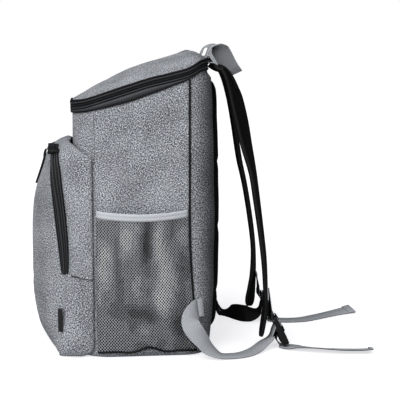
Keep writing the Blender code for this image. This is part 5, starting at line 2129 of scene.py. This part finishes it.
@dataclass
class Harness:
    """One shoulder strap with its webbings, adjuster and free end."""

    form: BagForm
    finishes: Wardrobe
    side: Side
    strap_width: float = 0.058
    strap_thick: float = 0.0085
    top_x: float = 0.078
    top_z: float = 0.389
    reach: float = 0.084
    web_width: float = 0.025
    web_thick: float = 0.0015
    web_lift: float = 0.0009
    seam_z: float = 0.066
    seam_setback: float = 0.0042
    root: float = 0.016
    tail: float = 0.130
    lock_width: float = 0.033
    lock_length: float = 0.042
    lock_rail: float = 0.0032
    lock_tilt: float = 23.5
    lock_thin: float = 0.0045
    lock_thick: float = 0.0095
    lock_sidestep: float = 0.008
    lock_setback: float = 0.0155
    lock_floor: float = 0.0062
    lock_stops: tuple[float, ...] = (0.0, 0.0042, 0.0168, 0.0222, 0.0312, 0.042)
    lock_edge: float = 0.0009
    edge_section: Section = (
        *((-0.6, -1.0, 0), (0.5, -0.95, 0), (1.0, -0.6, 0), (1.08, 0.0, 0), (1.0, 0.6, 0)),
        *((0.5, 0.95, 0), (-0.6, 1.0, 0), (-0.5, 0.9, 0), (-0.5, -0.9, 0)),
    )

    @property
    def tables(self) -> StrapTables:
        """The tables of this side."""
        return RIGHT_TABLES if self.side is Side.RIGHT else LEFT_TABLES

    def strap_stations(self) -> list[Station]:
        """The strap's stations."""
        s = self.side.value
        made = []
        for x, reach, height, lean, width, thick in self.tables.strap:
            y = self.form.back + reach * self.reach
            place = Vector((s * x * self.top_x, y, height * self.top_z))
            across = Vector((math.cos(math.radians(lean)), -math.sin(math.radians(lean)), 0.0))
            made.append((place, across, width * self.strap_width, thick * self.strap_thick))
        return made

    def lock_frame(self) -> tuple[Vector, Vector, Vector]:
        """The place of the adjuster's top bar, its downward direction and its outward one."""
        end = self.strap_stations()[-1][0]
        tilt = math.radians(self.lock_tilt)
        down = Vector((0, math.sin(tilt), -math.cos(tilt)))
        out = Vector((0, math.cos(tilt), math.sin(tilt)))
        drop = self.lock_length * math.cos(tilt) + self.lock_floor
        top = Vector((end.x + self.lock_sidestep, end.y + self.lock_setback, drop))
        return top, down, out

    def web_stations(self, table: Sequence[WebRow]) -> list[Station]:
        """Place webbing told in millimetres from the seam, the floor, the tail or the adjuster.

        Args:
            table: The rows of the webbing.

        Returns:
            The stations.
        """
        top, down, out = self.lock_frame()
        seam_y = self.form.seam_y(self.seam_z) + self.seam_setback
        seam_x = self.side.value * (self.form.side_x(seam_y, self.seam_z) + GAP)
        seam = Vector((seam_x, seam_y, self.seam_z))
        made = []
        for kind, a, b, c, across in table:
            if kind == "seam":
                place = seam + Vector((a, b, c)) / 1000
            elif kind == "floor":
                place = Vector((seam.x + a / 1000, seam.y + b / 1000, c / 1000))
            elif kind == "tail":
                place = Vector((top.x + a / 1000, top.y + b * self.tail, c / 1000))
            else:
                place = top + Vector((a / 1000, 0, 0)) + down * (b / 1000) + out * (c / 1000)
            made.append((place, Vector(across), self.web_width, self.web_thick))
        return made

    def on_strap(self, first: int, last: int, width: float) -> list[Station]:
        """Lay a webbing on the strap's outer face.

        Args:
            first: The strap's station where it starts.
            last: The strap's station where it ends.
            width: The webbing's width.

        Returns:
            The stations.
        """
        made = []
        frames = frames_along(self.strap_stations(), 4)
        for place, _, across, normal, _, pad in frames[first * 4 : last * 4 + 1]:
            lift = pad / 2 + self.web_thick / 2 + self.web_lift * 0.5
            outward = normal if normal.y + normal.z > 0 else -normal
            made.append((place + outward * lift, across, width, self.web_thick))
        return made

    def two_faced(self, name: str, stations: Sequence[Station], steps: int, grey_out: bool) -> Piece:
        """A webbing that is grey on one face and black on the other.

        Args:
            name: The piece's name.
            stations: Its stations.
            steps: Frames from one station to the next.
            grey_out: Whether the face along the normal is the grey one.

        Returns:
            The webbing.
        """
        pair = [self.finishes.grey_web, self.finishes.black_web]
        return sweep(name, frames_along(stations, steps), FLAT_SECTION, pair if grey_out else pair[::-1])

    def build_strap(self) -> None:
        """Make the padded strap with its bound edges."""
        stations = self.strap_stations()
        frames = frames_along(stations, 6)
        faces = [self.finishes.air_mesh, self.finishes.air_mesh]
        pad = sweep("strap_pad_" + self.side.word, frames, padded_section(28), faces)
        seat(pad, Slot.PADDING, "shoulder_strap_" + self.side.word)
        for end, word in ((1, "a"), (-1, "b")):
            edge: list[Frame] = []
            for place, tangent, across, normal, width, thick in frames[2:-2]:
                middle = place + across * end * (width / 2 - 0.0026)
                high = thick * 0.62 + 0.0006
                edge.append((middle, tangent, across * end, normal * end, 0.0068, high))
            name = "strap_edge_" + self.side.word + "_" + word
            seat(sweep(name, edge, self.edge_section, [self.finishes.tape]), Slot.PADDING)

    def build_webbing(self) -> None:
        """Make the webbings on and below the strap."""
        word = self.side.word
        lead = self.on_strap(0, 4, self.web_width)
        tape_y = self.form.size(1.0)[2] + GAP + 0.002
        first = lead[0][0]
        root = Vector((first.x, tape_y + GAP, first.z))
        start: Station = (root, Vector((1, 0, 0)), self.web_width, self.web_thick)
        top = ribbon("strap_top_web_" + word, [start, *lead], 1, self.finishes.black_web)
        top.data.materials.append(self.finishes.grey_web)
        for polygon in top.data.polygons:
            if polygon.center.y < self.form.back + self.root:
                polygon.material_index = 2
        seat(top, Slot.WEBBING, "strap_webbing_" + word)
        count = len(self.tables.strap)
        narrow = self.web_width * 0.92
        lower = self.on_strap(count - 5, count - 5, narrow)
        turn: list[Station] = []
        for place, across, _, thick in self.web_stations(ROUND_TOP_BAR):
            turn.append((place, across, narrow, thick))
        loop = self.two_faced("adjuster_loop_" + word, [*lower, *turn], 2, False)
        seat(loop, Slot.WEBBING, "strap_loop_" + word)
        lead = self.web_stations([*self.tables.from_seam, *OVER_BAR])
        under = self.two_faced("lower_web_" + word, lead, 6, self.side is Side.LEFT)
        seat(under, Slot.WEBBING, "lower_webbing_" + word)
        end = self.web_stations([*UNDER_BAR, *self.tables.free_end])
        free = self.two_faced("free_end_" + word, end, 6, False)
        seat(free, Slot.WEBBING, "webbing_tail_" + word)

    def build_tab(self) -> None:
        """Make the hemmed end of webbing that is sewn down behind the seam."""
        s = self.side.value
        word = self.side.word
        stations: list[Station] = []
        for k in range(9):
            z = self.seam_z + 0.0125 - 0.0235 * k / 8
            y = self.form.seam_y(z) + 0.0086
            x = self.form.side_x(y, z) + 0.0034 + 0.0022 * k / 8
            across = Vector((-0.35 * s, 1.0, 0.0)).normalized()
            stations.append((Vector((s * x, y, z)), across, 0.0085, 0.0018))
        seat(ribbon("seam_tab_" + word, stations, 2, self.finishes.grey_web), Slot.WEBBING)
        low, across, _, _ = stations[-1]
        hem: list[Station] = []
        for rise in (0.0016, 0.0004, -0.0008):
            hem.append((low + Vector((s * 0.0012, 0, rise)), across, 0.0088, 0.0012))
        seat(ribbon("seam_tab_hem_" + word, hem, 2, self.finishes.grey_thread), Slot.WEBBING)

    def build_hem(self) -> None:
        """Make the folded hem at the free end."""
        end = self.web_stations(self.tables.free_end)
        stations: list[Station] = []
        for place, _, across, _, _, _ in frames_along(end, 6)[-5:]:
            stations.append((place + Vector((0, 0, 0.0012)), across, self.web_width * 1.01, 0.0020))
        seat(ribbon("free_end_hem_" + self.side.word, stations, 1, self.finishes.grey_web), Slot.WEBBING)

    def build_lock(self) -> None:
        """Make the ladder lock: a grid with two slots, drawn out, wedged and rounded."""
        top, down, out = self.lock_frame()
        bpy.ops.object.select_all(action="DESELECT")
        bpy.ops.mesh.primitive_grid_add(x_subdivisions=3, y_subdivisions=5, size=1.0)
        lock = bpy.context.active_object
        lock.name = "adjuster_" + self.side.word
        half = self.lock_width / 2
        xs = [-half, -half + self.lock_rail, half - self.lock_rail, half]
        stops = self.lock_stops
        for vertex in lock.data.vertices:
            i = round((vertex.co.x + 0.5) * 3)
            j = round((0.5 - vertex.co.y) * 5)
            vertex.co = Vector((xs[i], -stops[j], 0.0))
        bpy.ops.object.mode_set(mode="EDIT")
        bpy.ops.mesh.select_all(action="DESELECT")
        bpy.ops.mesh.select_mode(type="FACE")
        bpy.ops.object.mode_set(mode="OBJECT")
        for polygon in lock.data.polygons:
            inside = abs(polygon.center.x) < 0.004
            deep = -polygon.center.y
            polygon.select = inside and (stops[1] < deep < stops[2] or stops[3] < deep < stops[4])
        bpy.ops.object.mode_set(mode="EDIT")
        bpy.ops.mesh.delete(type="FACE")
        bpy.ops.mesh.select_all(action="SELECT")
        bpy.ops.mesh.extrude_region_move(TRANSFORM_OT_translate={"value": (0, 0, 1.0)})
        bpy.ops.mesh.select_all(action="SELECT")
        bpy.ops.mesh.normals_make_consistent(inside=False)
        bpy.ops.object.mode_set(mode="OBJECT")
        for vertex in lock.data.vertices:
            share = -vertex.co.y / self.lock_length
            wedge = (self.lock_thick - self.lock_thin) * min(1.0, share * 1.6)
            reach = (self.lock_thin + wedge) / 2
            vertex.co.z = reach if vertex.co.z > 0.5 else -reach
        bevel = lock.modifiers.new("edge", "BEVEL")
        bevel.width = self.lock_edge
        bevel.segments = 3
        bevel.limit_method = "ANGLE"
        apply_all(lock)
        turn = Matrix((Vector((1, 0, 0)), -down, out)).transposed().to_4x4()
        lock.data.transform(Matrix.Translation(top) @ turn)
        lock.data.materials.append(self.finishes.plastic)
        lock.data.shade_smooth()
        lock.data.set_sharp_from_angle(angle=math.radians(35))
        seat(lock, Slot.PLASTIC, "ladder_lock_" + self.side.word)

    def make(self) -> None:
        """Build and dress the strap."""
        self.build_strap()
        self.build_webbing()
        self.build_tab()
        self.build_hem()
        self.build_lock()


@dataclass
class CarryHandle:
    """The webbing loop at the top of the back."""

    form: BagForm
    finishes: Wardrobe
    spread: float = 0.080
    reach: float = 0.049
    rise: float = 0.0205
    width: float = 0.025
    thick: float = 0.0015
    rows: tuple[tuple[float, float, float, Triple], ...] = (
        (1.00, 0.000, 0.05, (1.00, 0.00, 0.00)),
        (1.00, 0.080, 0.45, (1.00, 0.00, 0.00)),
        (0.99, 0.170, 0.88, (1.00, 0.05, 0.00)),
        (0.97, 0.280, 1.00, (0.99, 0.08, 0.12)),
        (0.93, 0.400, 0.92, (0.80, 0.30, 0.50)),
        (0.84, 0.500, 0.66, (0.40, 0.50, 0.76)),
        (0.70, 0.610, 0.28, (0.15, 0.66, 0.72)),
        (0.52, 0.730, -0.20, (0.05, 0.80, 0.60)),
        (0.34, 0.850, -0.62, (0.00, 0.88, 0.48)),
        (0.15, 0.950, -0.88, (0.00, 0.91, 0.42)),
        (0.00, 0.980, -0.94, (0.00, 0.91, 0.42)),
    )

    def make(self) -> None:
        """Build and dress the handle."""
        face = self.form.size(1.0)[2] + GAP + 0.002
        stations: list[Station] = []
        for side, rows in ((1, self.rows), (-1, self.rows[::-1][1:])):
            for x, reach, rise, across in rows:
                y = face + GAP + self.thick / 2 + reach * self.reach
                z = self.form.rim_back + 0.002 + rise * self.rise
                way = Vector((across[0] * side, across[1], across[2]))
                place = Vector((side * x * self.spread / 2, y, z))
                stations.append((place, way, self.width, self.thick))
        seat(ribbon("handle_web", stations, 6, self.finishes.grey_web), Slot.WEBBING, "carry_handle")


@dataclass
class ZipPulls:
    """The sliders and their pulls, which keep the shapes of the frame."""

    finishes: Wardrobe
    cord_width: float = 0.0034
    cord_steps: int = 6

    def make(self, nodes: dict[str, Piece]) -> None:
        """Dress the two sliders of the frame.

        Args:
            nodes: The frame's nodes.
        """
        for name in ("lid_zip_pull", "pocket_zip_pull"):
            node = nodes[name]
            node.data.materials.clear()
            node.data.materials.append(self.finishes.plastic)
            LOG.info("%s: kept from the frame", name)
        self.make_cord(nodes["pocket_zip_pull"])

    def make_cord(self, node: bpy.types.Object) -> None:
        """Sheathe the hanging part of the pocket's pull in cord.

        Args:
            node: The frame's pull.
        """
        points = [node.matrix_world @ vertex.co for vertex in node.data.vertices]
        foot = min(point.z for point in points)
        top = max(point.z for point in points)
        stations: list[Station] = []
        for k in range(self.cord_steps):
            low = foot + (top - foot) * k / self.cord_steps
            slab = [p for p in points if low <= p.z <= low + (top - foot) / self.cord_steps]
            if slab:
                centre = sum(slab, Vector()) / len(slab)
                stations.append((centre, Vector((1, 0, 0)), self.cord_width, self.cord_width))
        frames = frames_along(stations, 3)
        cord = sweep("pocket_pull_cord", frames, round_section(10), [self.finishes.black_thread])
        seat(cord, Slot.PLASTIC)


# Studio


@dataclass(frozen=True)
class Studio:
    """Floor, light and camera."""

    eye: Triple = (1.6151, -0.0758, 0.4207)
    target: Triple = (0.0, 0.094, 0.1925)
    lens: float = 101.1
    floor_glow: float = 0.735
    sky: float = 1.50
    sky_base: float = -0.14
    contrast: float = 0.85
    sky_ways: Triple = (0.64, -0.30, 0.84)
    floor_size: float = 14.0
    floor_grey: float = 0.52
    floor_tint: Triple = (0.975, 0.975, 1.0)
    key_place: Triple = (1.5, -0.75, 1.3)
    key_size: float = 0.8
    key_power: float = 14.0
    key_colour: Colour = (1.0, 0.995, 0.985)

    def build_floor(self) -> None:
        """Make the pale floor."""
        bpy.ops.object.select_all(action="DESELECT")
        bpy.ops.mesh.primitive_plane_add(size=self.floor_size, location=(0, 0, 0))
        floor = bpy.context.active_object
        floor.name = "studio_floor"
        n = Nodes("pale_floor", 0.9)
        n.shader.inputs["Base Color"].default_value = (*[self.floor_grey] * 3, 1.0)
        n.gloss(0.0)
        n.shader.inputs["Emission Color"].default_value = (*self.floor_tint, 1.0)
        seen = n.add("LightPath").outputs["Is Camera Ray"]
        n.tree.links.new(n.maths("MULTIPLY", seen, self.floor_glow), n.shader.inputs["Emission Strength"])
        floor.data.materials.append(n.material)

    def build_key(self) -> None:
        """Make the one soft lamp, to the front right and above."""
        data = bpy.data.lights.new("key", "AREA")
        data.shape = "SQUARE"
        data.size = self.key_size
        data.energy = self.key_power
        data.color = self.key_colour
        lamp = bpy.data.objects.new("key", data)
        lamp.location = self.key_place
        lamp.rotation_euler = (MIDDLE - Vector(self.key_place)).to_track_quat("-Z", "Y").to_euler()
        bpy.context.collection.objects.link(lamp)

    def build_sky(self) -> None:
        """Make the world: brighter towards the key, and white to the camera alone."""
        world = bpy.data.worlds.new("studio")
        bpy.context.scene.world = world
        world.use_nodes = True
        tree = world.node_tree

        def node(kind: str, first: Socket, second: object, **settings: object) -> bpy.types.Node:
            """Add a node with two inputs."""
            made = tree.nodes.new("ShaderNode" + kind)
            for key, value in settings.items():
                setattr(made, key, value)
            tree.links.new(first, made.inputs[0])
            if isinstance(second, bpy.types.NodeSocket):
                tree.links.new(second, made.inputs[1])
            else:
                made.inputs[1].default_value = second
            return made

        way = tree.nodes.new("ShaderNodeTexCoord").outputs["Generated"]
        lean = node("VectorMath", way, self.sky_ways, operation="DOT_PRODUCT").outputs["Value"]
        bright = node("Math", lean, self.sky_base, operation="ADD", use_clamp=True).outputs[0]
        scaled = node("Math", bright, self.sky, operation="MULTIPLY").outputs[0]
        camera_ray = tree.nodes.new("ShaderNodeLightPath").outputs["Is Camera Ray"]
        seen = node("Math", scaled, camera_ray, operation="MAXIMUM").outputs[0]
        glow = tree.nodes["Background"]
        glow.inputs["Color"].default_value = (1.0, 1.0, 1.0, 1.0)
        tree.links.new(seen, glow.inputs["Strength"])

    def build_camera(self) -> None:
        """Make the camera at the photograph's angle."""
        data = bpy.data.cameras.new("camera")
        data.lens = self.lens
        data.sensor_width = 36.0
        data.clip_start = 0.05
        camera = bpy.data.objects.new("camera", data)
        camera.location = self.eye
        aim = Vector(self.target) - Vector(self.eye)
        camera.rotation_euler = aim.to_track_quat("-Z", "Y").to_euler()
        bpy.context.collection.objects.link(camera)
        bpy.context.scene.camera = camera

    def make(self) -> None:
        """Build the studio."""
        self.build_camera()
        self.build_floor()
        self.build_sky()
        self.build_key()
        bpy.context.scene.view_settings.view_transform = "Standard"
        bpy.context.scene.view_settings.gamma = self.contrast


def main() -> None:
    """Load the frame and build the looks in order."""
    logging.basicConfig(level=logging.INFO, format="%(name)s %(message)s")
    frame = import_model()
    Studio().make()
    form = BagForm()
    finishes = Wardrobe()
    MainBody(form, finishes).make()
    Lid(form, finishes).make()
    FrontPocket(form, finishes).make()
    for side in Side:
        NetPocket(form, finishes, side).make()
        Harness(form, finishes, side).make()
    CarryHandle(form, finishes).make()
    ZipPulls(finishes).make(frame["nodes"])


if __name__ == "__main__":
    main()
